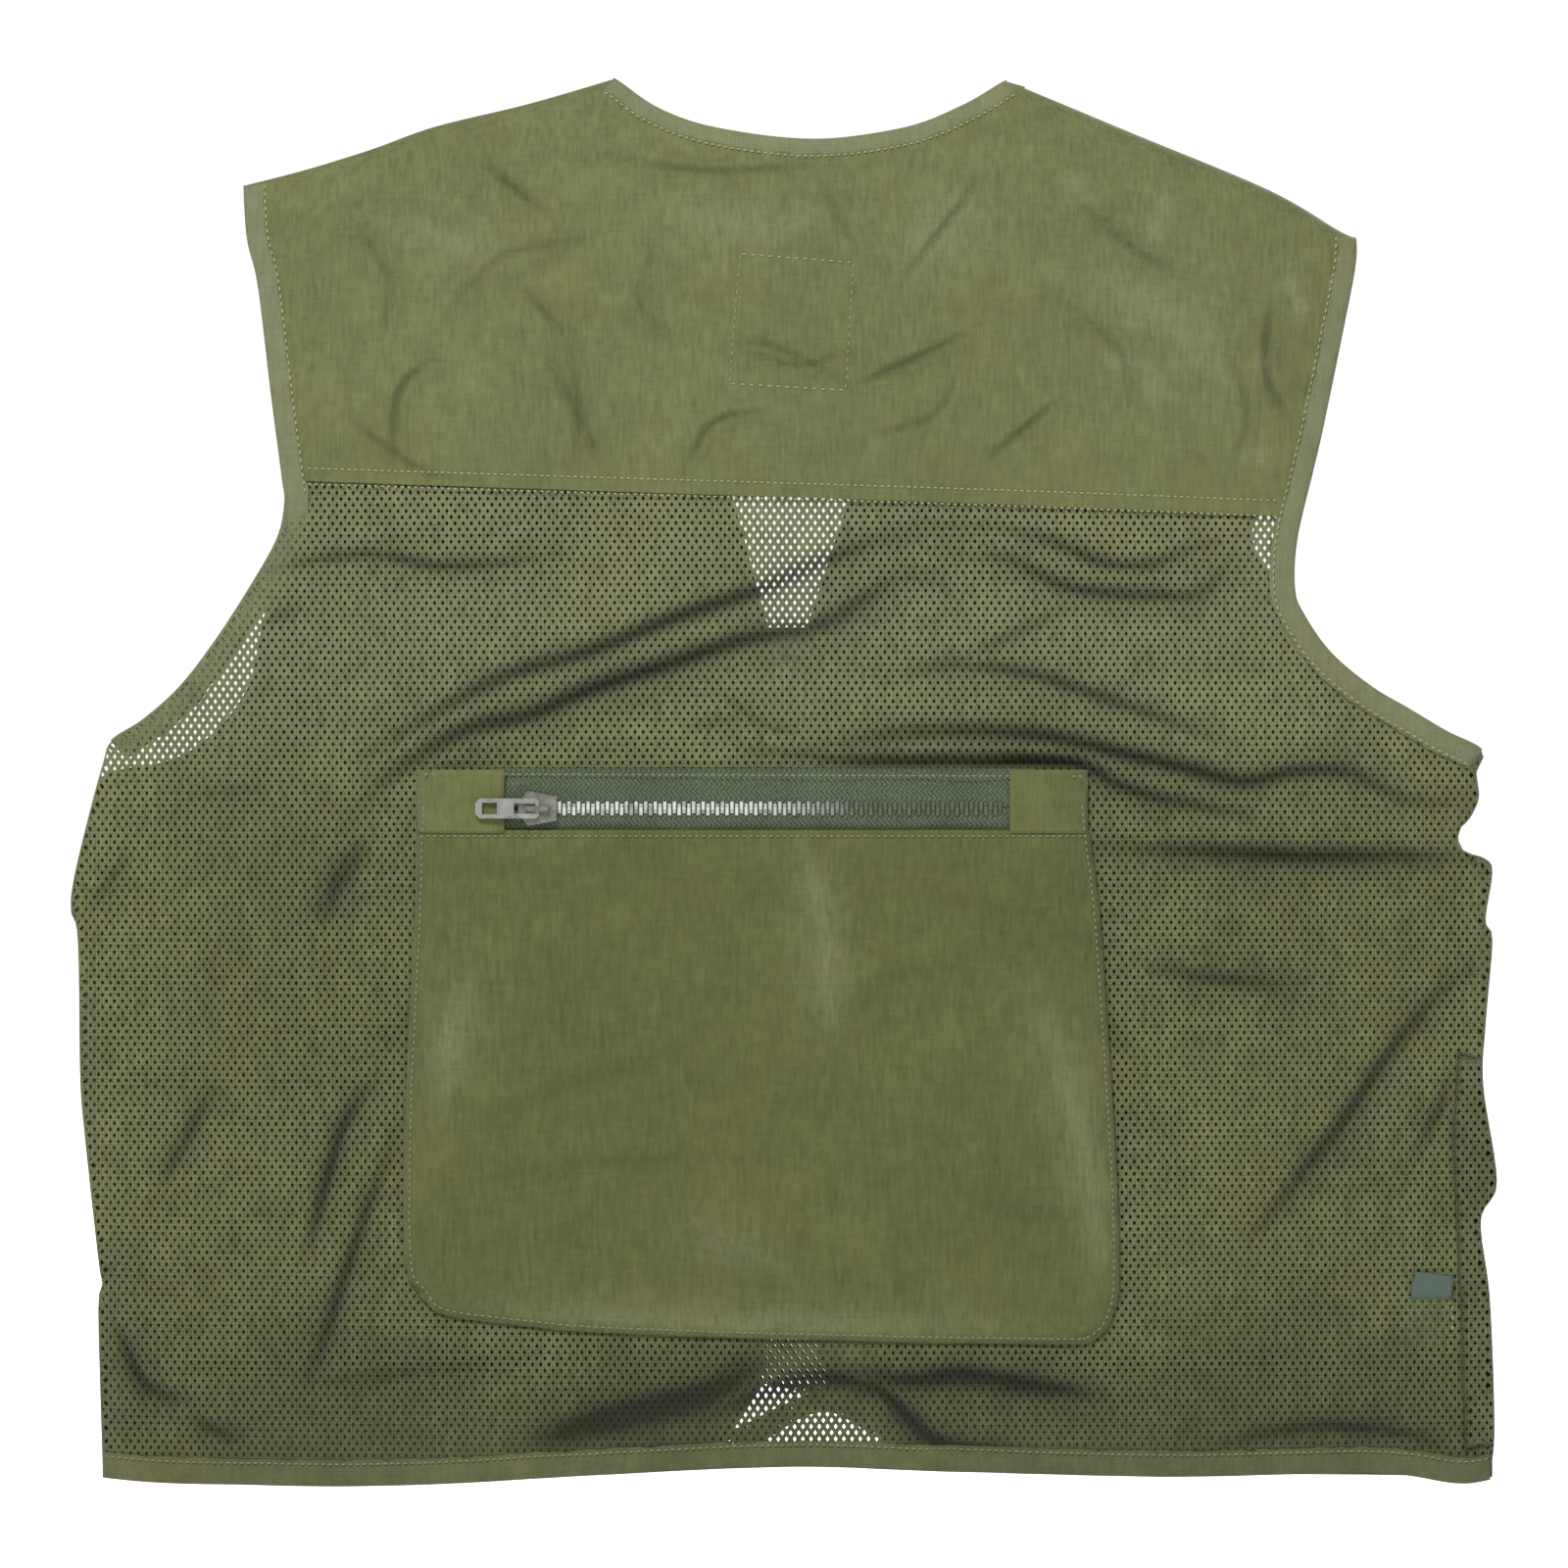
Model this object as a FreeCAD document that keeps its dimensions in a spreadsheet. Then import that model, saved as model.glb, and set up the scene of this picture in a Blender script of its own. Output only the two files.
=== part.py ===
import FreeCAD, Part
import Sketcher
import math
import os

# A fishing vest, hanging flat and upright. X runs across the wearer's back towards the
# right arm, Z is up and the back panel faces -Y. The origin is the middle of the neck on
# the line that joins the two shoulder points, where a hanger or a pair of shoulders holds it.
# All lengths are in millimetres.

doc = FreeCAD.newDocument("fishing_vest")
sheet = doc.addObject("Spreadsheet::Sheet", "Sizes")
pieces = []


# ---------------------------------------------------------------- sizes

class Size:
    """A size that knows its number and the sheet formula that gives it."""

    def __init__(self, value, text):
        self.value = float(value)
        self.text = text

    def __add__(self, other):
        other = as_size(other)
        return Size(self.value + other.value, f"({self.text} + {other.text})")

    def __sub__(self, other):
        other = as_size(other)
        return Size(self.value - other.value, f"({self.text} - {other.text})")

    def __mul__(self, other):
        other = as_size(other)
        return Size(self.value * other.value, f"({self.text} * {other.text})")

    def __truediv__(self, other):
        other = as_size(other)
        return Size(self.value / other.value, f"({self.text} / {other.text})")

    def __neg__(self):
        return Size(-self.value, f"(0 - {self.text})")

    __radd__ = __add__
    __rmul__ = __mul__

    def __rsub__(self, other):
        return as_size(other) - self


def as_size(number):
    return number if isinstance(number, Size) else Size(number, f"{number:g}")


def size(name, value):
    """Writes one driving dimension into the sheet."""
    row = size.rows = size.rows + 1
    sheet.set(f"A{row}", name)
    sheet.set(f"B{row}", f"{value:g}")
    sheet.setAlias(f"B{row}", name)
    return Size(value, f"Sizes.{name}")


size.rows = 0

# the torso's barrel shape
body_depth = size("body_depth", 26)
side_half_gap = size("side_half_gap", 3.6)
neck_half_gap = size("neck_half_gap", 5.6)
shoulder_start = size("shoulder_start", 150)
shoulder_lean = size("shoulder_lean", 17.5)
barrel_sweep = size("barrel_sweep", 18)

# the outline, as the vest hangs: neck, shoulders, armholes, sides and hem
neck_left = size("neck_left", 86)
neck_right = size("neck_right", 96)
neck_radius = size("neck_radius", 162)
tip_left = size("tip_left", 245)
tip_left_drop = size("tip_left_drop", 49.5)
tip_right = size("tip_right", 246)
tip_right_drop = size("tip_right_drop", 70)
arm_left = size("arm_left", 226)
arm_left_drop = size("arm_left_drop", 187)
arm_right = size("arm_right", 218)
arm_right_drop = size("arm_right_drop", 222)
underarm_left = size("underarm_left", 304)
underarm_left_drop = size("underarm_left_drop", 292)
underarm_right = size("underarm_right", 303)
underarm_right_drop = size("underarm_right_drop", 298)
arm_left_radius = size("arm_left_radius", 177)
arm_right_radius = size("arm_right_radius", 136)
side_left = size("side_left", 321)
side_left_drop = size("side_left_drop", 365)
side_right = size("side_right", 307.5)
side_right_drop = size("side_right_drop", 350)
hem_left = size("hem_left", 307.5)
hem_right = size("hem_right", 307)
hem_drop = size("hem_drop", 617)

# the fronts: a V neck, a zip down the middle and edges cut away below it
front_centre = size("front_centre", -5)
zip_gap = size("zip_gap", 9)
vee_drop = size("vee_drop", 243)
cutaway_left_drop = size("cutaway_left_drop", 550)
cutaway_right_drop = size("cutaway_right_drop", 534)
cutaway_left = size("cutaway_left", 42)
cutaway_right = size("cutaway_right", 58)
front_arm_left = size("front_arm_left", 237)
front_arm_left_drop = size("front_arm_left_drop", 238)
front_arm_left_radius = size("front_arm_left_radius", 70)
front_arm_right = size("front_arm_right", 200)
front_arm_right_drop = size("front_arm_right_drop", 195)
front_arm_right_radius = size("front_arm_right_radius", 167)

# the barrel's two radii: round the torso, and over the shoulders
side_rise = body_depth - side_half_gap
barrel_radius = (side_left * side_left + side_rise * side_rise) / (2 * side_rise)
neck_rise = body_depth - neck_half_gap - neck_left * neck_left / (2 * barrel_radius)
shoulder_arc = (shoulder_start * shoulder_start + neck_rise * neck_rise) / (2 * neck_rise)

# cloth: woven pieces lie outside the mesh, with a little room between the layers
woven = size("woven", 1.5)
mesh = size("mesh", 1.2)
room = size("room", 0.1)
seam_overlap = size("seam_overlap", 10)
yoke_left_drop = size("yoke_left_drop", 181)
yoke_right_drop = size("yoke_right_drop", 196)
front_yoke_drop = size("front_yoke_drop", 165)

# bindings and seam tapes
binding = size("binding", 0.8)
neck_binding_width = size("neck_binding_width", 9)
arm_binding_width = size("arm_binding_width", 11)
hem_binding_width = size("hem_binding_width", 12)
placket_width = size("placket_width", 24)
tape_width = size("tape_width", 14)
tape = size("tape", 0.8)
bridge_reach = size("bridge_reach", 9)
bridge_set_in = size("bridge_set_in", 2)
bridge_height = size("bridge_height", 7)
bridge_below_tip = size("bridge_below_tip", 6)
underarm_bridge_set_in = size("underarm_bridge_set_in", 3)
underarm_bridge_below = size("underarm_bridge_below", 4)
underarm_bridge_above = size("underarm_bridge_above", 2)

# the two labels, which are blank
label_width = size("label_width", 53)
label_height = size("label_height", 58)
label_top = size("label_top", 80)
label_shift = size("label_shift", 3)
label_cloth = size("label_cloth", 0.5)
care_width = size("care_width", 24)
care_height = size("care_height", 34)
care_top = size("care_top", 527)
care_left = size("care_left", 268)

# the back pocket
pocket_left = size("pocket_left", 167)
pocket_right = size("pocket_right", 126)
pocket_low_left = size("pocket_low_left", 173)
pocket_low_right = size("pocket_low_right", 141)
pocket_top = size("pocket_top", 305)
pocket_bottom = size("pocket_bottom", 557)
pocket_corner = size("pocket_corner", 24)
pocket_band = size("pocket_band", 27)
pocket_standoff = size("pocket_standoff", 3.6)
pocket_rim = size("pocket_rim", 1.2)
pocket_left_curve = size("pocket_left_curve", 31.2)
pocket_right_curve = size("pocket_right_curve", 25.2)
zip_window_left = size("zip_window_left", 129)
zip_window_right = size("zip_window_right", 92.5)
zip_below_top = size("zip_below_top", 17.5)

# zips: both use the same teeth, slider and puller
tape_split = size("tape_split", 2)
zip_tape_width = size("zip_tape_width", 13.5)
tooth_pitch = size("tooth_pitch", 4.2)
tooth_width = size("tooth_width", 1.9)
tooth_reach = size("tooth_reach", 0.8)
tooth_grip = size("tooth_grip", 1)
tooth_height = size("tooth_height", 2)
bead_height = size("bead_height", 1)
slider_length = size("slider_length", 17)
slider_width = size("slider_width", 15.3)
slider_tail = size("slider_tail", 10.6)
slider_nose = size("slider_nose", 4)
slider_plate = size("slider_plate", 1.2)
slider_channel = size("slider_channel", 3)
slider_slot = size("slider_slot", 1.4)
slider_post = size("slider_post", 2.4)
bail_height = size("bail_height", 3.9)
bail_length = size("bail_length", 11)
bail_width = size("bail_width", 1.8)
bail_thick = size("bail_thick", 1.2)
puller_length = size("puller_length", 28)
puller_width = size("puller_width", 8.8)
puller_thick = size("puller_thick", 1.5)
puller_slot = size("puller_slot", 9.5)
puller_slot_width = size("puller_slot_width", 4.4)
puller_bar = size("puller_bar", 1.6)
puller_window = size("puller_window", 6.5)
puller_window_width = size("puller_window_width", 5)
back_zip_start = size("back_zip_start", 106)
back_zip_length = size("back_zip_length", 198)
front_zip_top = size("front_zip_top", 262)
front_zip_length = size("front_zip_length", 262)
stop_length = size("stop_length", 3)
zip_box_length = size("zip_box_length", 10)
zip_box_width = size("zip_box_width", 9)
zip_box_slot = size("zip_box_slot", 9)
zip_box_proud = size("zip_box_proud", 1)
slider_shoulder = size("slider_shoulder", 12.92)
slider_waist = size("slider_waist", 8.5)
slider_waist_width = size("slider_waist_width", 13.77)
slider_side_play = size("slider_side_play", 0.9)
post_start = size("post_start", 0.6)
post_half_length = size("post_half_length", 2.4)
weld = size("weld", 0.4)
puller_corner = size("puller_corner", 2)
puller_taper = size("puller_taper", 1.2)
puller_window_edge = size("puller_window_edge", 3)
stop_bite = size("stop_bite", 1.2)
stop_gap = size("stop_gap", 1)
back_tape_lead = size("back_tape_lead", 30)
back_tape_tail = size("back_tape_tail", 12)
front_tape_lead = size("front_tape_lead", 20)
front_tape_tail = size("front_tape_tail", 8)

# front pockets, each with a flap over its mouth
chest_width = size("chest_width", 140)
chest_height = size("chest_height", 110)
chest_depth = size("chest_depth", 8)
chest_offset = size("chest_offset", 120)
chest_mouth = size("chest_mouth", 188)
chest_flap = size("chest_flap", 46)
lower_width = size("lower_width", 210)
lower_height = size("lower_height", 200)
lower_depth = size("lower_depth", 14)
lower_offset = size("lower_offset", 175)
lower_mouth = size("lower_mouth", 354)
lower_flap = size("lower_flap", 64)
bag_cloth = size("bag_cloth", 1.2)
flap_rise = size("flap_rise", 7)
flap_side = size("flap_side", 3)
patch = size("patch", 0.7)
patch_gap = size("patch_gap", 0.3)
patch_height = size("patch_height", 18)
patch_above_edge = size("patch_above_edge", 5)
flap_root_gap = size("flap_root_gap", 0.6)

# the front zip lies just inside the mesh, and the bridges reach past both cloths
front_zip_sink = woven + mesh + 3 * room + tape / 2
bridge_half_depth = body_depth / 2 - room * 10


# ---------------------------------------------------------------- building blocks

def bind(thing, **formulas):
    """Ties properties to the sheet; a double underscore stands for a dot."""
    for path, value in formulas.items():
        thing.setExpression(path.replace("__", "."), as_size(value).text)
    return thing


def finished(thing, label):
    """Names a sub-part; its label is its file's name."""
    thing.Label = label
    pieces.append(thing)
    return thing


def combine(kind, name, base, tool):
    thing = doc.addObject(kind, name)
    thing.Base, thing.Tool = base, tool
    return thing


def cut(name, base, tool):
    return combine("Part::Cut", name, base, tool)


def common(name, *shapes):
    thing = doc.addObject("Part::MultiCommon", name)
    thing.Shapes = list(shapes)
    return thing


def fuse(name, *shapes):
    thing = doc.addObject("Part::MultiFuse", name)
    thing.Shapes = list(shapes)
    return thing


def box(name, low, high):
    """A box between two opposite corners."""
    thing = doc.addObject("Part::Box", name)
    low, high = [as_size(v) for v in low], [as_size(v) for v in high]
    bind(thing, Length=high[0] - low[0], Width=high[1] - low[1], Height=high[2] - low[2],
         Placement__Base__x=low[0], Placement__Base__y=low[1], Placement__Base__z=low[2])
    return thing


def arc_centre(start, end, radius):
    """Centre of the shorter arc from start to end; a positive radius turns left."""
    middle = (start + end) * 0.5
    along = end - start
    left = FreeCAD.Vector(-along.y, along.x, 0).normalize()
    reach = math.sqrt(max(radius ** 2 - (along.Length / 2) ** 2, 0))
    return middle + left * (reach if radius > 0 else -reach)


def draw(sketch, corners):
    """Draws a closed outline. Each corner is (across, up), and a third entry is the radius
    of the arc that leads to the next corner, positive where it turns left."""
    corners = [[as_size(v) for v in c] for c in corners]
    spots = [FreeCAD.Vector(c[0].value, c[1].value, 0) for c in corners]
    ends = []
    for i, corner in enumerate(corners):
        start, end = spots[i], spots[(i + 1) % len(corners)]
        if len(corner) == 2:
            sketch.addGeometry(Part.LineSegment(start, end), False)
            ends.append((1, 2))
            continue
        radius = corner[2].value
        centre = arc_centre(start, end, radius)
        first, last = (start, end) if radius > 0 else (end, start)
        turn = [math.atan2((p - centre).y, (p - centre).x) for p in (first, last)]
        circle = Part.Circle(centre, FreeCAD.Vector(0, 0, 1), abs(radius))
        sketch.addGeometry(Part.ArcOfCircle(circle, turn[0], turn[1]), False)
        ends.append((1, 2) if radius > 0 else (2, 1))
    last = len(corners) - 1
    for i, corner in enumerate(corners):
        before = last if i == 0 else i - 1
        sketch.addConstraint(Sketcher.Constraint("Coincident", before, ends[before][1], i, ends[i][0]))
        for axis, value in (("DistanceX", corner[0]), ("DistanceY", corner[1])):
            rule = Sketcher.Constraint(axis, -1, 1, i, ends[i][0], value.value)
            number = sketch.addConstraint(rule)
            sketch.setExpression(f"Constraints[{number}]", value.text)
        if len(corner) == 3:
            rule = Sketcher.Constraint("Radius", i, abs(corner[2].value))
            number = sketch.addConstraint(rule)
            length = corner[2] if corner[2].value > 0 else -corner[2]
            sketch.setExpression(f"Constraints[{number}]", length.text)
    return sketch


UPRIGHT = FreeCAD.Placement(FreeCAD.Vector(0, 0, 0), FreeCAD.Rotation(FreeCAD.Vector(1, 0, 0), 90))
BOTH_WAYS = 80
below_hem = size("below_hem", 40)


def outline(name, corners):
    """An outline drawn on the XZ plane."""
    sketch = doc.addObject("Sketcher::SketchObject", name)
    sketch.Placement = UPRIGHT
    return draw(sketch, corners)


def prism(name, profile):
    """An outline stretched along Y, far enough to pass through back and front."""
    thing = doc.addObject("Part::Extrusion", name)
    thing.Base = profile
    thing.DirMode = "Custom"
    thing.Dir = FreeCAD.Vector(0, 1, 0)
    thing.LengthFwd = BOTH_WAYS
    thing.LengthRev = BOTH_WAYS
    thing.Solid = True
    return thing


def region(name, *corners):
    return prism(name + "_area", outline(name + "_outline", corners))


def inset(name, profile, distance):
    """The outline drawn in from its edge."""
    sheet_of_cloth = doc.addObject("Part::Face", name + "_face")
    sheet_of_cloth.Sources = [profile]
    smaller = doc.addObject("Part::Offset2D", name + "_inset")
    smaller.Source = sheet_of_cloth
    bind(smaller, Value=-as_size(distance))
    return prism(name, smaller)


def layer(name, side, out, thick):
    """One thickness of the torso's shape: straight up from the hem, leaning in towards the
    shoulders, and wrapped round an axis far in front of it. out is how far its outer face
    stands proud of the woven cloth's."""
    out, thick = as_size(out), as_size(thick)
    sketch = doc.addObject("Sketcher::SketchObject", name + "_section")
    facing = -1 if side == "back" else 1
    turn = FreeCAD.Matrix(0, 0, -facing, 0, -facing, 0, 0, 0, 0, 1, 0, 0, 0, 0, 0, 1)
    sketch.Placement = FreeCAD.Placement(turn)
    centre_u, centre_v = shoulder_arc - body_depth, -shoulder_start
    outer, inner = shoulder_arc + out, shoulder_arc + out - thick
    foot = -(hem_drop + below_hem)
    lean = math.radians(shoulder_lean.value)

    def at(radius, height):
        return FreeCAD.Vector(centre_u.value - radius.value, height.value, 0)

    def tipped(radius):
        return FreeCAD.Vector(centre_u.value - radius.value * math.cos(lean),
                              centre_v.value + radius.value * math.sin(lean), 0)

    def arc(radius):
        centre = FreeCAD.Vector(centre_u.value, centre_v.value, 0)
        circle = Part.Circle(centre, FreeCAD.Vector(0, 0, 1), radius.value)
        return Part.ArcOfCircle(circle, math.pi - lean, math.pi)

    sketch.addGeometry([
        Part.LineSegment(at(outer, foot), at(outer, centre_v)),
        arc(outer),
        Part.LineSegment(tipped(outer), tipped(inner)),
        arc(inner),
        Part.LineSegment(at(inner, centre_v), at(inner, foot)),
        Part.LineSegment(at(inner, foot), at(outer, foot)),
    ], False)
    rule = Sketcher.Constraint
    sketch.addConstraint([
        rule("Coincident", 0, 2, 1, 2), rule("Coincident", 1, 1, 2, 1),
        rule("Coincident", 2, 2, 3, 1), rule("Coincident", 3, 2, 4, 1),
        rule("Coincident", 4, 2, 5, 1), rule("Coincident", 5, 2, 0, 1),
        rule("Coincident", 1, 3, 3, 3), rule("Vertical", 0), rule("Vertical", 4),
        rule("Horizontal", 5), rule("PointOnObject", 1, 3, 2),
    ])
    for kind, where, value in (
        ("DistanceX", (-1, 1, 1, 3), centre_u),
        ("DistanceY", (-1, 1, 1, 3), centre_v),
        ("DistanceY", (-1, 1, 0, 2), centre_v),
        ("DistanceY", (-1, 1, 4, 1), centre_v),
        ("DistanceY", (-1, 1, 0, 1), foot),
        ("Radius", (1,), outer),
        ("Radius", (3,), inner),
    ):
        number = sketch.addConstraint(rule(kind, *where, value.value))
        sketch.setExpression(f"Constraints[{number}]", value.text)
    number = sketch.addConstraint(rule("Angle", 2, -lean))
    sketch.setExpression(f"Constraints[{number}]", f"0 deg - {shoulder_lean.text} * 1 deg")
    turned = doc.addObject("Part::Revolution", name)
    turned.Source = sketch
    turned.Axis = FreeCAD.Vector(0, 0, 1)
    turned.Symmetric = True
    turned.Solid = True
    bind(turned, Angle=barrel_sweep, Base__y=(barrel_radius - body_depth) * -facing)
    return turned


# ---------------------------------------------------------------- outlines and layers

back_outline = outline("back_outline", [
    (-neck_left, 0, neck_radius),
    (neck_right, 0),
    (tip_right, -tip_right_drop),
    (arm_right, -arm_right_drop, arm_right_radius),
    (underarm_right, -underarm_right_drop),
    (side_right, -side_right_drop),
    (hem_right, -hem_drop),
    (-hem_left, -hem_drop),
    (-side_left, -side_left_drop),
    (-underarm_left, -underarm_left_drop, arm_left_radius),
    (-arm_left, -arm_left_drop),
    (-tip_left, -tip_left_drop),
])
left_outline = outline("left_front_outline", [
    (-neck_left, 0),
    (-tip_left, -tip_left_drop),
    (-front_arm_left, -front_arm_left_drop, -front_arm_left_radius),
    (-(underarm_left + 2), -(front_arm_left_drop + front_arm_left_radius - 1)),
    (-side_left, -side_left_drop),
    (-hem_left, -hem_drop),
    (-cutaway_left, -hem_drop),
    (front_centre - zip_gap, -cutaway_left_drop),
    (front_centre - zip_gap, -vee_drop),
])
right_outline = outline("right_front_outline", [
    (neck_right, 0),
    (front_centre + zip_gap, -vee_drop),
    (front_centre + zip_gap, -cutaway_right_drop),
    (cutaway_right, -hem_drop),
    (hem_right, -hem_drop),
    (side_right, -side_right_drop),
    (underarm_right, -(underarm_right_drop + 2), -front_arm_right_radius),
    (front_arm_right, -front_arm_right_drop),
    (tip_right, -tip_right_drop),
])
outlines = {"back": back_outline, "left_front": left_outline, "right_front": right_outline}
edges = {part: prism(part + "_edge", profile) for part, profile in outlines.items()}
bodies = {part: inset(part + "_cloth", profile, binding + room) for part, profile in outlines.items()}

SIDES = ("back", "front")
beyond = size("beyond", 90)
FAR = hem_drop
woven_layer = {s: layer(s + "_woven", s, 0, woven) for s in SIDES}
mesh_layer = {s: layer(s + "_mesh", s, -(woven + room), mesh) for s in SIDES}
cloth_stack = woven + room + mesh
bound_layer = {s: layer(s + "_bound", s, binding + room, cloth_stack + 2 * (binding + room)) for s in SIDES}
groove_layer = {s: layer(s + "_groove", s, room, cloth_stack + 2 * room) for s in SIDES}
inside_layer = {s: layer(s + "_inside", s, -(cloth_stack + room * 3), label_cloth) for s in SIDES}
solid_layer = {s: layer(s + "_solid", s, -woven, beyond * 2 / 3) for s in SIDES}

# ---------------------------------------------------------------- back panels

yoke_slope = (yoke_left_drop - yoke_right_drop) / (arm_left + arm_right)


def yoke_line(across):
    """Height of the yoke seam at a distance across."""
    return yoke_slope * (as_size(across) + arm_left) - yoke_left_drop


yoke_area = region("yoke", (-FAR, beyond), (-FAR, yoke_line(-FAR)), (FAR, yoke_line(FAR)), (FAR, beyond))
below_yoke = region("below_yoke", (-FAR, yoke_line(-FAR) + seam_overlap), (-FAR, -FAR - beyond),
                    (FAR, -FAR - beyond), (FAR, yoke_line(FAR) + seam_overlap))
finished(common("yoke_piece", woven_layer["back"], bodies["back"], yoke_area), "back_yoke")
finished(common("mesh_piece", mesh_layer["back"], bodies["back"], below_yoke), "back_mesh_panel")

# a blank label is sewn inside the yoke, and a smaller one hangs in the right side seam
label_area = box("label_area", (-label_width / 2 - label_shift, -beyond, -(label_top + label_height)),
                 (label_width / 2 - label_shift, 0, -label_top))
finished(common("label_piece", inside_layer["back"], label_area), "yoke_label")
care_area = box("care_area", (care_left, -beyond, -(care_top + care_height)),
                (care_left + care_width, 0, -care_top))
finished(common("care_piece", inside_layer["back"], care_area), "care_label")

# ---------------------------------------------------------------- fronts

front_yoke_area = region("front_yoke", (-FAR, beyond), (-FAR, -front_yoke_drop),
                         (FAR, -front_yoke_drop), (FAR, beyond))
below_front_yoke = region("below_front_yoke", (-FAR, seam_overlap - front_yoke_drop), (-FAR, -FAR - beyond),
                          (FAR, -FAR - beyond), (FAR, seam_overlap - front_yoke_drop))
placket_low = -(hem_drop - placket_width - 1)
placket_area = {
    "left_front": region("left_placket", (front_centre, -vee_drop), (-vee_drop / 2, -vee_drop),
                         (-vee_drop / 2, placket_low), (front_centre, placket_low)),
    "right_front": region("right_placket", (front_centre, -vee_drop), (front_centre, placket_low),
                          (vee_drop / 2, placket_low), (vee_drop / 2, -vee_drop)),
}
for part in ("left_front", "right_front"):
    hand = part.split("_")[0]
    finished(common(part + "_yoke_piece", woven_layer["front"], bodies[part], front_yoke_area),
             part + "_yoke")
    finished(common(part + "_mesh_piece", mesh_layer["front"], bodies[part], below_front_yoke),
             part + "_mesh_panel")
    core = inset(part + "_placket_core", outlines[part], placket_width)
    band = cut(part + "_placket_band", bodies[part], core)
    finished(common(part + "_placket_piece", woven_layer["front"], band, placket_area[part]),
             hand + "_placket")

# ---------------------------------------------------------------- bindings and seam tapes


def bound_edge(name, part, side, width, area):
    """A strip of binding folded over the edge of a panel, with the cloth in its groove."""
    core = inset(name + "_core", outlines[part], width)
    band = cut(name + "_band", edges[part], core)
    strip = common(name + "_strip", bound_layer[side], band, area)
    groove = common(name + "_groove", groove_layer[side], bodies[part])
    return cut(name + "_folded", strip, groove)


neck_low = -(neck_radius / 2)
neck_area = region("neck_area", (-neck_left + 1, 60), (-neck_left + 1, neck_low),
                   (neck_right - 1, neck_low), (neck_right - 1, 60))
finished(bound_edge("back_neck", "back", "back", neck_binding_width, neck_area), "back_neck_binding")
vee_areas = {
    "left": region("left_vee", (-neck_left + 2, 40), (-neck_left - 8, -30),
                   (front_centre - 36, -vee_drop + 1), (front_centre, -vee_drop + 1), (front_centre, 40)),
    "right": region("right_vee", (neck_right - 2, 40), (front_centre, 40), (front_centre, -vee_drop + 1),
                    (front_centre + 36, -vee_drop + 1), (neck_right + 8, -30)),
}
for hand in ("left", "right"):
    finished(bound_edge(hand + "_vee", hand + "_front", "front", neck_binding_width, vee_areas[hand]),
             hand + "_neck_binding")

hem_low = -(hem_drop + 20)
hem_high = -(hem_drop - hem_binding_width)
hem_area = region("hem_area", (-FAR, hem_low), (FAR, hem_low), (FAR, hem_high), (-FAR, hem_high))
for part in ("back", "left_front", "right_front"):
    side = "back" if part == "back" else "front"
    finished(bound_edge(part + "_hem", part, side, hem_binding_width, hem_area), part + "_hem_binding")

arm_areas = {
    "left": region("left_arm", (-FAR, 0), (-FAR, -front_arm_left_drop - front_arm_left_radius + 2),
                   (-underarm_left + 6, -front_arm_left_drop - front_arm_left_radius + 2),
                   (-arm_left + 60, -arm_left_drop - 40), (-arm_left + 60, -arm_left_drop),
                   (-tip_left + arm_binding_width, -tip_left_drop - 20), (-tip_left + arm_binding_width, 0)),
    "right": region("right_arm", (FAR, 0), (tip_right - arm_binding_width, 0),
                    (tip_right - arm_binding_width, -tip_right_drop - 20),
                    (front_arm_right - 60, -arm_right_drop),
                    (front_arm_right - 30, -arm_right_drop - 60),
                    (underarm_right - 6, -underarm_right_drop - 1), (FAR, -underarm_right_drop - 1)),
}
trim_reach = size("trim_reach", 20)
outward = {s: layer(s + "_outward", s, trim_reach, cloth_stack + room + trim_reach) for s in SIDES}
for hand, way in (("left", -1), ("right", 1)):
    tip = (tip_left, tip_right)[way > 0]
    tip_drop = (tip_left_drop, tip_right_drop)[way > 0]
    arm = (underarm_left, underarm_right)[way > 0]
    arm_drop = (underarm_left_drop, underarm_right_drop)[way > 0]
    strips = [bound_edge(f"{hand}_arm_{side}", part, side, arm_binding_width, arm_areas[hand])
              for side, part in (("back", "back"), ("front", hand + "_front"))]
    ends = [(tip - bridge_reach) * way, (tip - bridge_set_in) * way]
    ends.sort(key=lambda v: v.value)
    bridge_top = -(tip_drop + bridge_below_tip)
    bridge = box(hand + "_tip_bridge", (ends[0], -bridge_half_depth, bridge_top - bridge_height),
                 (ends[1], bridge_half_depth, bridge_top))
    ends = [(arm - bridge_reach) * way, (arm - underarm_bridge_set_in) * way]
    ends.sort(key=lambda v: v.value)
    lower = box(hand + "_underarm_bridge", (ends[0], -bridge_half_depth, -(arm_drop + underarm_bridge_below)),
                (ends[1], bridge_half_depth, -(arm_drop - underarm_bridge_above)))
    joined = fuse(hand + "_bridges", bridge, lower)
    trimmed = cut(hand + "_bridges_back", joined, outward["back"])
    trimmed = cut(hand + "_bridges_both", trimmed, outward["front"])
    finished(fuse(hand + "_arm_binding", *strips, trimmed), hand + "_armhole_binding")


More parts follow.
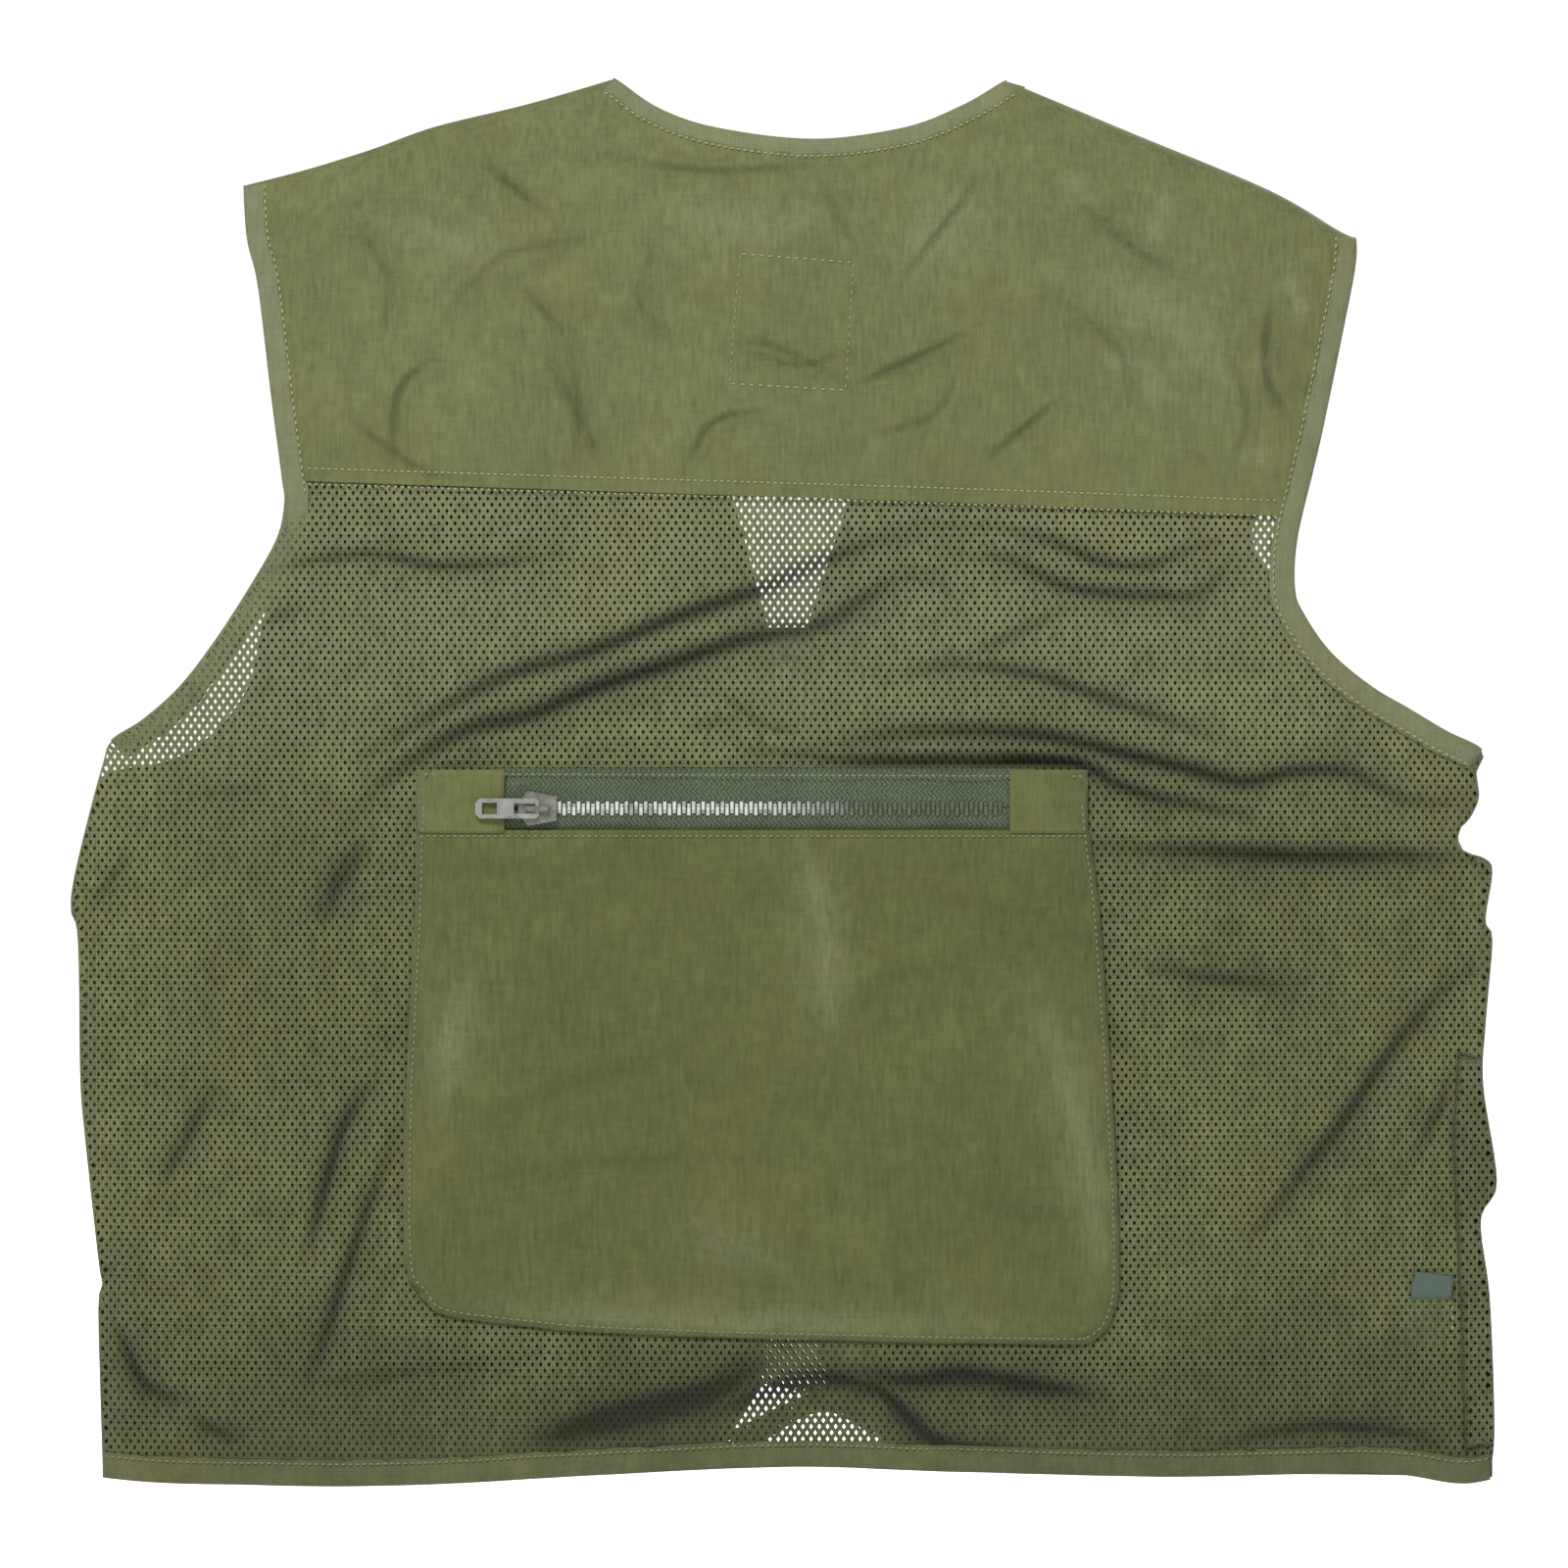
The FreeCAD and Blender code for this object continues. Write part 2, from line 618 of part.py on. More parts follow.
side_core = inset("side_tape_core", back_outline, tape_width)
side_band = cut("side_tape_band", bodies["back"], side_core)
mid_slab = box("mid_slab", (-FAR, -tape / 2, -FAR), (FAR, tape / 2, beyond))
tape_top = -(front_arm_left_drop + front_arm_left_radius + 4)
tape_foot = -(hem_drop - tape_width - 1)
for hand, way in (("left", -1), ("right", 1)):
    neck = (neck_left, neck_right)[way > 0]
    tip = (tip_left, tip_right)[way > 0]
    side_area = region(hand + "_side", *[(across * way, up) for across, up in (
        (FAR / 3, tape_top), (FAR, tape_top), (FAR, tape_foot), (FAR / 3, tape_foot))])
    finished(common(hand + "_side_piece", mid_slab, side_band, side_area), hand + "_side_seam_tape")
    inner, outer = neck + neck_binding_width + 2, tip - tape_width - 6
    shoulder_low = -((tip_left_drop, tip_right_drop)[way > 0] + tape_width + 10)
    shoulder_area = region(hand + "_shoulder", *[(across * way, up) for across, up in (
        (inner, 40), (outer, 40), (outer, shoulder_low), (inner, shoulder_low))])
    finished(common(hand + "_shoulder_piece", mid_slab, side_band, shoulder_area), hand + "_shoulder_tape")


# ---------------------------------------------------------------- zips


def sketch_on(body, role, name, corners):
    """A sketch on one of a body's own origin planes."""
    drawn = body.newObject("Sketcher::SketchObject", name)
    origin_plane = [f for f in body.Origin.OriginFeatures if f.Role == role][0]
    drawn.AttachmentSupport = (origin_plane, [""])
    drawn.MapMode = "FlatFace"
    return draw(drawn, corners)


def pad(body, name, drawn, length):
    """A sketch thickened evenly both ways."""
    feature = body.newObject("PartDesign::Pad", name)
    feature.Profile = drawn
    feature.SideType = "Symmetric"
    return bind(feature, Length=length)


def slab(body, name, corners, length):
    return pad(body, name, sketch_on(body, "XZ_Plane", name + "_plan", corners), length)


def rectangle(left, right, low, high):
    return [(left, low), (right, low), (right, high), (left, high)]


def tooth_row(name, length, shift):
    """Moulded teeth on a beaded edge; each tooth's two cheeks clasp the tape."""
    body = doc.addObject("PartDesign::Body", name)
    slab(body, name + "_bead", rectangle(0, length, tape_split / 2, tape_split), bead_height)
    half, cheek = tooth_height / 2, tape / 2 + room / 2
    tip_up, end_up = -tooth_reach, tape_split + tooth_grip
    tooth = body.newObject("Sketcher::SketchObject", name + "_tooth_section")
    origin_plane = [f for f in body.Origin.OriginFeatures if f.Role == "YZ_Plane"][0]
    tooth.AttachmentSupport = (origin_plane, [""])
    tooth.MapMode = "FlatFace"
    bind(tooth, AttachmentOffset__Base__z=shift)
    draw(tooth, [(-half, tip_up), (half, tip_up), (half, end_up), (cheek, end_up),
                 (cheek, tape_split), (-cheek, tape_split), (-cheek, end_up), (-half, end_up)])
    first = body.newObject("PartDesign::Pad", name + "_tooth")
    first.Profile = tooth
    bind(first, Length=tooth_width)
    doc.recompute()
    pattern = body.newObject("PartDesign::LinearPattern", name + "_teeth")
    pattern.Originals = [first]
    axis = [f for f in body.Origin.OriginFeatures if f.Role == "X_Axis"][0]
    pattern.Direction = (axis, [""])
    pattern.Mode = "Spacing"
    bind(pattern, Offset=tooth_pitch)
    pattern.setExpression("Occurrences", f"floor({(length - shift).text} / {tooth_pitch.text})")
    body.Tip = pattern
    return body


def slider_body(name):
    """Two plates with a channel for the teeth between them, a post at the nose that parts
    the rows, and a bail on top for the puller. The nose points to -X."""
    body = doc.addObject("PartDesign::Body", name)
    height = slider_channel + 2 * slider_plate
    nose, wide, tail = slider_nose / 2, slider_width / 2, slider_tail / 2
    shoulder, waist = slider_shoulder, slider_waist
    plan = [(-slider_length, -nose), (-shoulder, -wide), (-waist, -slider_waist_width / 2), (0, -tail),
            (0, tail), (-waist, slider_waist_width / 2), (-shoulder, wide), (-slider_length, nose)]
    slab(body, name + "_plates", plan, height)
    half, slot, side = slider_channel / 2, slider_slot / 2, tape_split + tooth_grip + slider_side_play
    section = sketch_on(body, "YZ_Plane", name + "_channel_section", [
        (-half, -side), (-slot, -side), (-slot, -slider_width), (slot, -slider_width), (slot, -side),
        (half, -side), (half, side), (slot, side), (slot, slider_width), (-slot, slider_width),
        (-slot, side), (-half, side)])
    doc.recompute()
    channel = body.newObject("PartDesign::Pocket", name + "_channel")
    channel.Profile = section
    channel.SideType = "Symmetric"
    bind(channel, Length=slider_length * 3)
    doc.recompute()
    post = slider_post / 2
    front = post_start - slider_length
    middle, back = front + post_half_length, front + post_half_length * 2
    slab(body, name + "_post", [(front, 0), (middle, -post), (back, 0), (middle, post)],
         slider_channel + weld)
    start, end = -(slider_length - bail_length) / 2 - bail_length, -(slider_length - bail_length) / 2
    base, top = -(height / 2 - weld * 3 / 4), -(height / 2 + bail_height)
    arch = sketch_on(body, "XY_Plane", name + "_bail_side", [
        (start, base), (start, top + 1), (start + 1, top), (end - 1, top), (end, top + 1), (end, base),
        (end - bail_thick, base), (end - bail_thick, top + bail_thick),
        (start + bail_thick, top + bail_thick), (start + bail_thick, base)])
    pad(body, name + "_bail", arch, bail_width)
    return body


def puller_body(name, way):
    """A flat pull tab with a long slot at its pivot end and a window near its free end."""
    body = doc.addObject("PartDesign::Body", name)
    half, neck = puller_width / 2, puller_width / 2 - puller_taper
    near, far = puller_bar / 2, puller_length - puller_bar / 2

    def mirrored(corners):
        turned = [(across * way, up) for across, up in corners]
        return turned if way > 0 else turned[::-1]

    corner = puller_corner
    plan = [(-near, -neck), (near, -half), (far - corner, -half), (far, corner - half), (far, half - corner),
            (far - corner, half), (near, half), (-near, neck)]
    slab(body, name + "_tab", mirrored(plan), puller_thick)
    slot_end = near + puller_slot
    window_start = far - puller_window_edge - puller_window
    for hole, corners in (
        ("slot", rectangle(near, slot_end, -puller_slot_width / 2, puller_slot_width / 2)),
        ("window", rectangle(window_start, window_start + puller_window,
                             -puller_window_width / 2, puller_window_width / 2)),
    ):
        doc.recompute()
        opening = body.newObject("PartDesign::Pocket", f"{name}_{hole}")
        opening.Profile = sketch_on(body, "XZ_Plane", f"{name}_{hole}_plan", mirrored(corners))
        opening.SideType = "Symmetric"
        bind(opening, Length=puller_thick * 3)
    return body


def place(thing, spot, turn):
    """Puts a zip's part where its zip is. turn is the rotation from the zip's own axes."""
    thing.Placement = FreeCAD.Placement(FreeCAD.Vector(*[v.value for v in spot]), turn)
    for axis, value in zip("xyz", spot):
        thing.setExpression(f"Placement.Base.{axis}", value.text)


def shifted(spot, turn, offset):
    """A point given in a zip's own axes, in the vest's frame. turn only swaps axes."""
    rows = [turn.multVec(FreeCAD.Vector(*unit)) for unit in ((1, 0, 0), (0, 1, 0), (0, 0, 1))]
    moved = list(spot)
    for amount, axis in zip(offset, rows):
        for i, share in enumerate((axis.x, axis.y, axis.z)):
            if abs(share) > 0.5:
                moved[i] = moved[i] + as_size(amount) * round(share)
    return moved


def zipper(name, sides, spot, turn, length, reach, puller_way):
    """A zip along its own X axis, closed, with its slider at the start and its face to -Y."""
    for side, way in zip(sides, (1, -1)):
        edges_up = sorted((tape_split * way, (tape_split + zip_tape_width) * way), key=lambda v: v.value)
        strip = doc.addObject("PartDesign::Body", f"{name}_{side}_strip")
        slab(strip, f"{name}_{side}_strip_plan",
             rectangle(-reach[0], length + reach[1], edges_up[0], edges_up[1]), tape)
        place(strip, spot, turn)
        finished(strip, f"{name}_{side}_tape")
        row = tooth_row(f"{name}_{side}_row", length, as_size(0) if way > 0 else tooth_pitch / 2)
        across = FreeCAD.Rotation(FreeCAD.Vector(1, 0, 0), 0 if way > 0 else 180)
        place(row, spot, turn.multiply(across))
        finished(row, f"{name}_{side}_teeth")
    sliding = slider_body(name + "_slide")
    place(sliding, spot, turn)
    finished(sliding, name + "_slider")
    tab = puller_body(name + "_tab", puller_way)
    pivot = (-slider_length / 2, -(slider_channel / 2 + slider_plate + (bail_height - bail_thick) / 2), 0)
    place(tab, shifted(spot, turn, pivot), turn)
    finished(tab, name + "_puller")


def crimp(label, spot, turn, along, low, high, height=tooth_height):
    """A metal stop clasped on the tape's edge."""
    body = doc.addObject("PartDesign::Body", label + "_crimp")
    slab(body, label + "_plan", rectangle(along, along + stop_length, low, high), height)
    place(body, spot, turn)
    finished(body, label)


back_turn = FreeCAD.Rotation()
back_spot = (-back_zip_start, -(body_depth + pocket_standoff), -(pocket_top + zip_below_top))
zipper("back_zip", ("upper", "lower"), back_spot, back_turn, back_zip_length,
       (back_tape_lead, back_tape_tail), -1)
gap = tape_split - room
slider_home = -(slider_length + stop_length + stop_gap / 2)
crimp("back_zip_upper_stop", back_spot, back_turn, slider_home, tape_split - stop_bite, gap)
crimp("back_zip_lower_stop", back_spot, back_turn, slider_home, -gap, stop_bite - tape_split)
crimp("back_zip_end_stop", back_spot, back_turn, back_zip_length + stop_gap, -gap, gap, tape + room)

front_turn = FreeCAD.Rotation(FreeCAD.Matrix(0, 0, -1, 0, 0, -1, 0, 0, -1, 0, 0, 0, 0, 0, 0, 1))
front_spot = (front_centre, body_depth - front_zip_sink, -front_zip_top)
zipper("front_zip", ("left", "right"), front_spot, front_turn, front_zip_length,
       (front_tape_lead, front_tape_tail), 1)
crimp("front_zip_left_stop", front_spot, front_turn, slider_home, tape_split - stop_bite, gap)
crimp("front_zip_right_stop", front_spot, front_turn, slider_home, -gap, stop_bite - tape_split)
holder = doc.addObject("PartDesign::Body", "front_box")
box_start = front_zip_length + stop_gap
slab(holder, "front_box_plan", rectangle(box_start, box_start + zip_box_length, -zip_box_width / 2, -room),
     tooth_height + zip_box_proud)
doc.recompute()
tape_slot = holder.newObject("PartDesign::Pocket", "front_box_slot")
tape_slot.Profile = sketch_on(holder, "XZ_Plane", "front_box_slot_plan", rectangle(
    front_zip_length, front_zip_length + zip_box_slot, -(tape_split + zip_tape_width), room - tape_split))
tape_slot.SideType = "Symmetric"
bind(tape_slot, Length=tape + room * 2)
place(holder, front_spot, front_turn)
finished(holder, "front_zip_box")
pin = doc.addObject("PartDesign::Body", "front_pin")
slab(pin, "front_pin_plan", rectangle(front_zip_length + stop_gap, front_zip_length + zip_box_length,
                                      0, gap), tooth_height)
place(pin, front_spot, front_turn)
finished(pin, "front_zip_pin")

# ---------------------------------------------------------------- the back pocket

zip_face = body_depth + pocket_standoff + tape / 2 + room
pocket_outline = outline("pocket_outline", [
    (-pocket_left, -pocket_top),
    (-pocket_low_left, -(pocket_bottom - pocket_corner), pocket_left_curve),
    (pocket_corner - pocket_low_left, -pocket_bottom),
    (pocket_low_right - pocket_corner, -pocket_bottom, pocket_right_curve),
    (pocket_low_right, -(pocket_bottom - pocket_corner)),
    (pocket_right, -pocket_top),
])
pocket_plan = prism("pocket_plan", pocket_outline)
pocket_hollow = inset("pocket_hollow", pocket_outline, pocket_rim)
band_foot = -(pocket_top + pocket_band)
pocket_face = box("pocket_face", (-FAR, -(zip_face + pocket_rim), -FAR), (FAR, -zip_face, band_foot))
rim_space = box("rim_space", (-FAR, -zip_face, -FAR), (FAR, 0, 0))
rim = cut("pocket_rim_ring", pocket_plan, pocket_hollow)
rim = common("pocket_rim_band", rim, rim_space)
rim = cut("pocket_rim_wall", rim, solid_layer["back"])
finished(fuse("pocket_piece", common("pocket_front", pocket_plan, pocket_face), rim), "back_pocket_panel")
for hand, low, high in (("left", -FAR, -zip_window_left), ("right", zip_window_right, FAR)):
    patch_area = box(hand + "_patch_area", (low, -(zip_face + pocket_rim), band_foot),
                     (high, -zip_face, 0))
    finished(common(hand + "_patch_piece", pocket_plan, patch_area), f"back_pocket_{hand}_patch")


# ---------------------------------------------------------------- front pockets and flaps


def sewn_on(thing, across, mouth):
    """Turns a piece square to the front panel, with its origin at the pocket's mouth line."""
    height = body_depth - woven - across * across / (2 * barrel_radius)
    place(thing, (across, height, -mouth), FreeCAD.Rotation(FreeCAD.Vector(0, 0, 1), 0))
    thing.setExpression("Placement.Rotation.Angle", f"0 deg - asin({across.text} / {barrel_radius.text})")
    thing.setExpression("Placement.Rotation.Axis.x", "0")
    thing.setExpression("Placement.Rotation.Axis.y", "0")
    thing.setExpression("Placement.Rotation.Axis.z", "1")
    return thing


def front_pocket(name, across, mouth, width, height, depth, flap):
    """An open bag sewn to the panel on three sides, a flap over its mouth, and the two
    halves of a hook-and-loop fastener between them."""
    half = width / 2
    shell = box(name + "_shell", (-half, -8, -height), (half, depth, 0))
    hollow = box(name + "_hollow", (bag_cloth - half, -9, bag_cloth - height),
                 (half - bag_cloth, depth - bag_cloth, 1))
    bag = sewn_on(cut(name + "_bag", shell, hollow), across, mouth)
    finished(cut(name + "_sewn", bag, solid_layer["front"]), name + "_pocket")
    inner = depth + 2 * patch + patch_gap
    wide = half + flap_side
    roof = box(name + "_flap_root", (-wide, flap_root_gap, flap_rise - bag_cloth),
               (wide, inner + bag_cloth, flap_rise))
    front = box(name + "_flap_front", (-wide, inner, -flap), (wide, inner + bag_cloth, flap_rise))
    finished(sewn_on(fuse(name + "_flap_piece", roof, front), across, mouth), name + "_flap")
    low, reach = patch_above_edge - flap, width / 5
    high = low + patch_height
    for kind, near in (("loop", depth), ("hook", inner - patch)):
        strip = box(f"{name}_{kind}_tape", (-reach, near, low), (reach, near + patch, high))
        held = doc.addObject("Part::Compound", f"{name}_{kind}_piece")
        held.Links = [strip]
        finished(sewn_on(held, across, mouth), f"{name}_{kind}_strip")


for hand, way in (("left", -1), ("right", 1)):
    front_pocket(hand + "_chest", front_centre + chest_offset * way, chest_mouth, chest_width,
                 chest_height, chest_depth, chest_flap)
    front_pocket(hand + "_lower", front_centre + lower_offset * way, lower_mouth, lower_width,
                 lower_height, lower_depth, lower_flap)

# ---------------------------------------------------------------- checks and files

doc.recompute()
for thing in doc.Objects:
    if "Invalid" in thing.State or "Error" in thing.State:
        raise RuntimeError(f"{thing.Label} failed: {thing.getStatusString()}")
for piece in pieces:
    if piece.Shape.isNull() or not piece.Shape.isValid() or not piece.Shape.Solids:
        raise RuntimeError(f"{piece.Label} has no valid solid")

os.makedirs("parts", exist_ok=True)
for piece in pieces:
    piece.Shape.exportStep(f"parts/{piece.Label}.step")
print(len(pieces), "pieces")
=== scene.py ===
import math
import bpy
import bmesh
import numpy as np
from mathutils import Matrix, Vector


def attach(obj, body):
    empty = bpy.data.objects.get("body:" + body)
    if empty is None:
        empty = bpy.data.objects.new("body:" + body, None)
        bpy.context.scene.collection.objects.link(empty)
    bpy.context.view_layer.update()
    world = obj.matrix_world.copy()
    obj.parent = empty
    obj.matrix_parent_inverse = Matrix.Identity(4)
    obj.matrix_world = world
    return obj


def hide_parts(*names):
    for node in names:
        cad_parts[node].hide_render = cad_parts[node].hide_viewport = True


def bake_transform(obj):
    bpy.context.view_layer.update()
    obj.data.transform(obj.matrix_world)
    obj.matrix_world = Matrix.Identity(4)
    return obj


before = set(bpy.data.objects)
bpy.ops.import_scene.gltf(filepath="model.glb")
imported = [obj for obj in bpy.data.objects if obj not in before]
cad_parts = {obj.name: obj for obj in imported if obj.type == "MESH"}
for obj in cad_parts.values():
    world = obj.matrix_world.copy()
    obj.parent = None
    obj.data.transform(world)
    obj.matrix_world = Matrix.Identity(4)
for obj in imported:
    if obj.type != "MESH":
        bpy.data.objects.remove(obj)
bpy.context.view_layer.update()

# The vest hangs upright with its back to -Y. Lengths are written in millimetres and turned
# to metres as each mesh is finished. Points on the cloth are (across, up) pairs.


# ------------------------------------------------------------------ back mesh panel
# The whole lower back: an olive polyester mesh knit with staggered holes, cut to the
# armholes, sides and hem. It hangs in the creases of a vest that has been folded away.

def smooth_line(points, step=2.0):
    """A soft curve through given points, as a dense row of them."""
    p = np.array(points, float)
    p = np.vstack([2 * p[0] - p[1], p, 2 * p[-1] - p[-2]])
    rows = []
    for a, b, c, d in zip(p, p[1:], p[2:], p[3:]):
        count = max(2, int(np.hypot(*(c - b)) / step))
        t = np.linspace(0, 1, count, endpoint=False)[:, None]
        rows.append(0.5 * (2 * b + (c - a) * t + (2 * a - 5 * b + 4 * c - d) * t**2
                           + (3 * b - a - 3 * c + d) * t**3))
    return np.vstack(rows + [p[-2:-1]])


left_edge = smooth_line([
    (-245, -47), (-243, -71), (-238, -92), (-232, -140), (-227, -178), (-226, -187), (-229, -202),
    (-238, -219), (-256, -247), (-273, -269), (-290, -284), (-304, -293), (-308, -303), (-315, -329),
    (-321, -355), (-322, -368), (-319, -381), (-318, -441), (-316, -467), (-310, -522), (-308, -535),
    (-310, -544), (-308, -618)])
right_edge = smooth_line([
    (246, -70), (245, -84), (239, -114), (230, -157), (226, -174), (219, -204), (218, -226), (222, -237),
    (234, -254), (252, -269), (269, -279), (286, -289), (302, -297), (300, -306), (301, -318), (297, -327),
    (292, -333), (294, -341), (304, -345), (307, -351), (304, -372), (307, -381), (304, -419), (303, -445),
    (309, -488), (302, -505), (306, -540), (308, -596), (306, -619)])
back_hem = smooth_line([
    (-308, -618), (-269, -620), (-178, -620), (-92, -615), (-6, -611), (62, -613), (166, -616), (252, -615),
    (290, -620), (306, -619)])
shoulder_line = smooth_line([
    (-245, -47), (-218, -40), (-189, -31), (-161, -21), (-120, -11), (-82, 0)])
back_neck = smooth_line([
    (-82, 0), (-62, -14), (-36, -23), (6, -28), (46, -23), (72, -13), (92, -1)])
shoulder_right = smooth_line([
    (92, -1), (100, -4), (148, -24), (208, -49), (239, -67), (246, -70)])
back_top = np.vstack([shoulder_line, back_neck[1:], shoulder_right[1:]])
yoke_seam = smooth_line([(-227, -181), (-140, -184), (-49, -187), (80, -191), (221, -196)])

body_depth, barrel_radius, shoulder_arc = 26.0, 2311.0, 608.0


def at_height(edge, up):
    """How far across an edge runs at each height."""
    order = np.argsort(edge[:, 1])
    return np.interp(up, edge[order, 1], edge[order, 0])


def at_width(edge, across):
    """The height of an edge at the given places across it."""
    order = np.argsort(edge[:, 0])
    return np.interp(across, edge[order, 0], edge[order, 1])


def eased(value, low, high):
    """0 at low and 1 at high, with a soft start and end between them."""
    t = np.clip((value - low) / (high - low), 0, 1)
    return t * t * (3 - 2 * t)


def folded(cloth, folds):
    """Height and depth of shade that a list of creases gives each point of the cloth.
    Each crease is (depth, width, points): a sharp valley between two soft ridges."""
    height, shade = np.zeros(len(cloth)), np.zeros(len(cloth))
    for depth, width, points in folds:
        line = smooth_line(points, 6)
        reach = 5 * width
        near = np.nonzero(((cloth > line.min(0) - reach) & (cloth < line.max(0) + reach)).all(1))[0]
        if not len(near):
            continue
        spot = cloth[near]
        run = np.r_[0, np.cumsum(np.hypot(*np.diff(line, axis=0).T))]
        best, side, along = np.full(len(spot), 1e9), np.zeros(len(spot)), np.zeros(len(spot))
        for i in range(len(line) - 1):
            way = line[i + 1] - line[i]
            t = np.clip(((spot - line[i]) @ way) / (way @ way), 0, 1)
            off = spot - line[i] - t[:, None] * way
            gap = np.hypot(off[:, 0], off[:, 1])
            closer = gap < best
            best = np.where(closer, gap, best)
            side = np.where(closer, np.sign(way[0] * off[:, 1] - way[1] * off[:, 0]), side)
            along = np.where(closer, (run[i] + t * (run[i + 1] - run[i])) / run[-1], along)
        fade = np.sin(np.pi * np.clip(along, 0.03, 0.97)) ** 0.6
        s = best * side / width
        height[near] += depth * fade * (-np.exp(-s * s) + 0.5 * np.exp(-((s - 2) / 1.5) ** 2)
                                        + 0.4 * np.exp(-((s + 2) / 1.5) ** 2))
        dark = 0.75 * np.exp(-(s / 1.1) ** 2) + 0.4 * np.exp(-(s / 3.4) ** 2)
        shade[near] = np.maximum(shade[near], fade * dark * min(1, depth / 3.5))
    return height, shade


def rumpled(cloth, wave, seed):
    """Gentle unevenness, about 1 either way, with bumps roughly wave across."""
    rng = np.random.default_rng(seed)
    total = np.zeros(len(cloth))
    for _ in range(14):
        angle, length, start = rng.uniform(0, 3.14), wave * rng.uniform(0.7, 1.7), rng.uniform(0, 6.28)
        total += np.sin((cloth @ [math.cos(angle), math.sin(angle)]) * 6.283 / length + start)
    return total / 14**0.5


mesh_folds = [
    (2.6, 2.2, [(-232, -217), (-204, -212), (-183, -211), (-161, -216), (-135, -215), (-108, -212)]),
    (1.6, 2.0, [(-191, -209), (-174, -202)]),
    (3.4, 3.0, [(71, -200), (41, -204), (11, -214), (-15, -226), (-54, -239), (-92, -254), (-127, -264),
                (-153, -277), (-174, -290), (-191, -299)]),
    (4.4, 3.4, [(62, -224), (49, -221), (32, -229), (11, -242), (-24, -249), (-58, -260), (-92, -271),
                (-118, -282), (-144, -288), (-161, -297), (-183, -312), (-200, -333)]),
    (2.6, 4.0, [(-188, -334), (-202, -355), (-211, -376)]),
    (3.2, 2.8, [(-186, -441), (-200, -462), (-209, -492), (-217, -522)]),
    (2.8, 2.8, [(-176, -467), (-187, -492), (-196, -518), (-209, -557), (-217, -578)]),
    (2.4, 2.8, [(-256, -443), (-269, -467), (-282, -490)]),
    (2.4, 2.8, [(-304, -546), (-295, -565), (-288, -578), (-269, -584)]),
    (3.6, 5.5, [(-125, -603), (-75, -589), (-41, -580), (-8, -563)]),
    (1.6, 2.2, [(-314, -366), (-295, -344)]),
    (1.2, 3.0, [(-273, -318), (-234, -314)]),
    (1.8, 2.4, [(-269, -591), (-247, -602)]),
    (1.4, 2.0, [(-237, -241), (-219, -234)]),
    (1.3, 3.0, [(-217, -576), (-161, -570), (-127, -567)]),
    (2.8, 2.4, [(24, -204), (49, -200), (71, -198), (95, -200), (114, -206), (135, -215), (157, -215),
                (174, -208), (193, -203)]),
    (2.8, 2.6, [(71, -211), (92, -213), (114, -224), (135, -228), (157, -229), (178, -228), (193, -211)]),
    (2.6, 2.6, [(41, -267), (67, -260), (92, -262), (114, -267), (157, -282), (191, -295)]),
    (1.6, 2.4, [(67, -260), (95, -246), (125, -232)]),
    (3.8, 3.0, [(5, -297), (45, -290), (80, -289), (114, -292), (144, -299), (170, -305), (196, -311),
                (217, -307), (243, -307), (269, -319), (299, -321)]),
    (3.6, 2.6, [(-20, -298), (28, -302), (71, -302), (123, -303), (137, -311), (157, -318), (178, -322),
                (212, -329)]),
    (4.2, 3.6, [(131, -340), (178, -342), (221, -344), (264, -344), (305, -346)]),
    (2.4, 3.4, [(150, -390), (178, -397), (224, -401)]),
    (3.0, 3.0, [(305, -389), (282, -406), (260, -432), (239, -462), (217, -490), (194, -520)]),
    (2.2, 2.6, [(291, -437), (282, -458), (272, -477)]),
    (3.8, 3.6, [(20, -570), (49, -574), (71, -572), (101, -576), (136, -581)]),
    (3.4, 3.0, [(26, -568), (45, -587), (62, -602), (92, -605)]),
    (2.2, 2.6, [(187, -602), (226, -595), (264, -598), (288, -607)]),
    (3.0, 3.4, [(-46, -590), (-10, -578), (11, -573), (34, -578), (52, -592)]),
    (1.4, 1.8, [(-37, -270), (-15, -286), (2, -290)]),
    (1.4, 1.8, [(-50, -287), (-22, -283)]),
]


yoke_folds = [
    (2.2, 1.4, [(-140, -37), (-110, -62)]), (2.0, 1.3, [(-123, -92), (-101, -116)]),
    (2.5, 1.6, [(-178, -172), (-176, -140), (-161, -125)]), (2.2, 1.6, [(-110, -123), (-84, -176)]),
    (1.9, 1.3, [(-101, -116), (-96, -150), (-100, -176)]),
    (1.9, 1.6, [(-200, -150), (-170, -172), (-150, -180)]),
    (2.0, 1.4, [(-50, -174), (-37, -153), (-15, -148)]), (2.2, 1.7, [(75, -114), (24, -138)]),
    (1.6, 1.3, [(24, -138), (-10, -120), (-34, -118)]), (1.6, 1.2, [(-32, -120), (0, -128), (22, -122)]),
    (2.0, 1.6, [(80, -172), (116, -142)]), (1.9, 1.4, [(-85, -36), (-40, -42), (10, -40)]),
    (2.5, 1.7, [(209, -97), (206, -131), (217, -153)]), (1.7, 1.4, [(190, -120), (198, -150), (190, -175)]),
    (1.9, 1.7, [(80, -46), (45, -92)]), (1.7, 1.7, [(120, -52), (150, -78), (170, -88)]),
    (1.6, 1.6, [(-200, -60), (-180, -90), (-185, -120)]), (1.7, 1.4, [(10, -46), (24, -74)]),
    (1.4, 1.6, [(110, -95), (140, -120), (150, -150)]), (1.4, 1.6, [(-60, -70), (-70, -100), (-50, -120)]),
    (1.4, 1.6, [(-150, -100), (-130, -80), (-90, -72)]), (1.4, 1.4, [(30, -160), (60, -150), (70, -130)]),
]


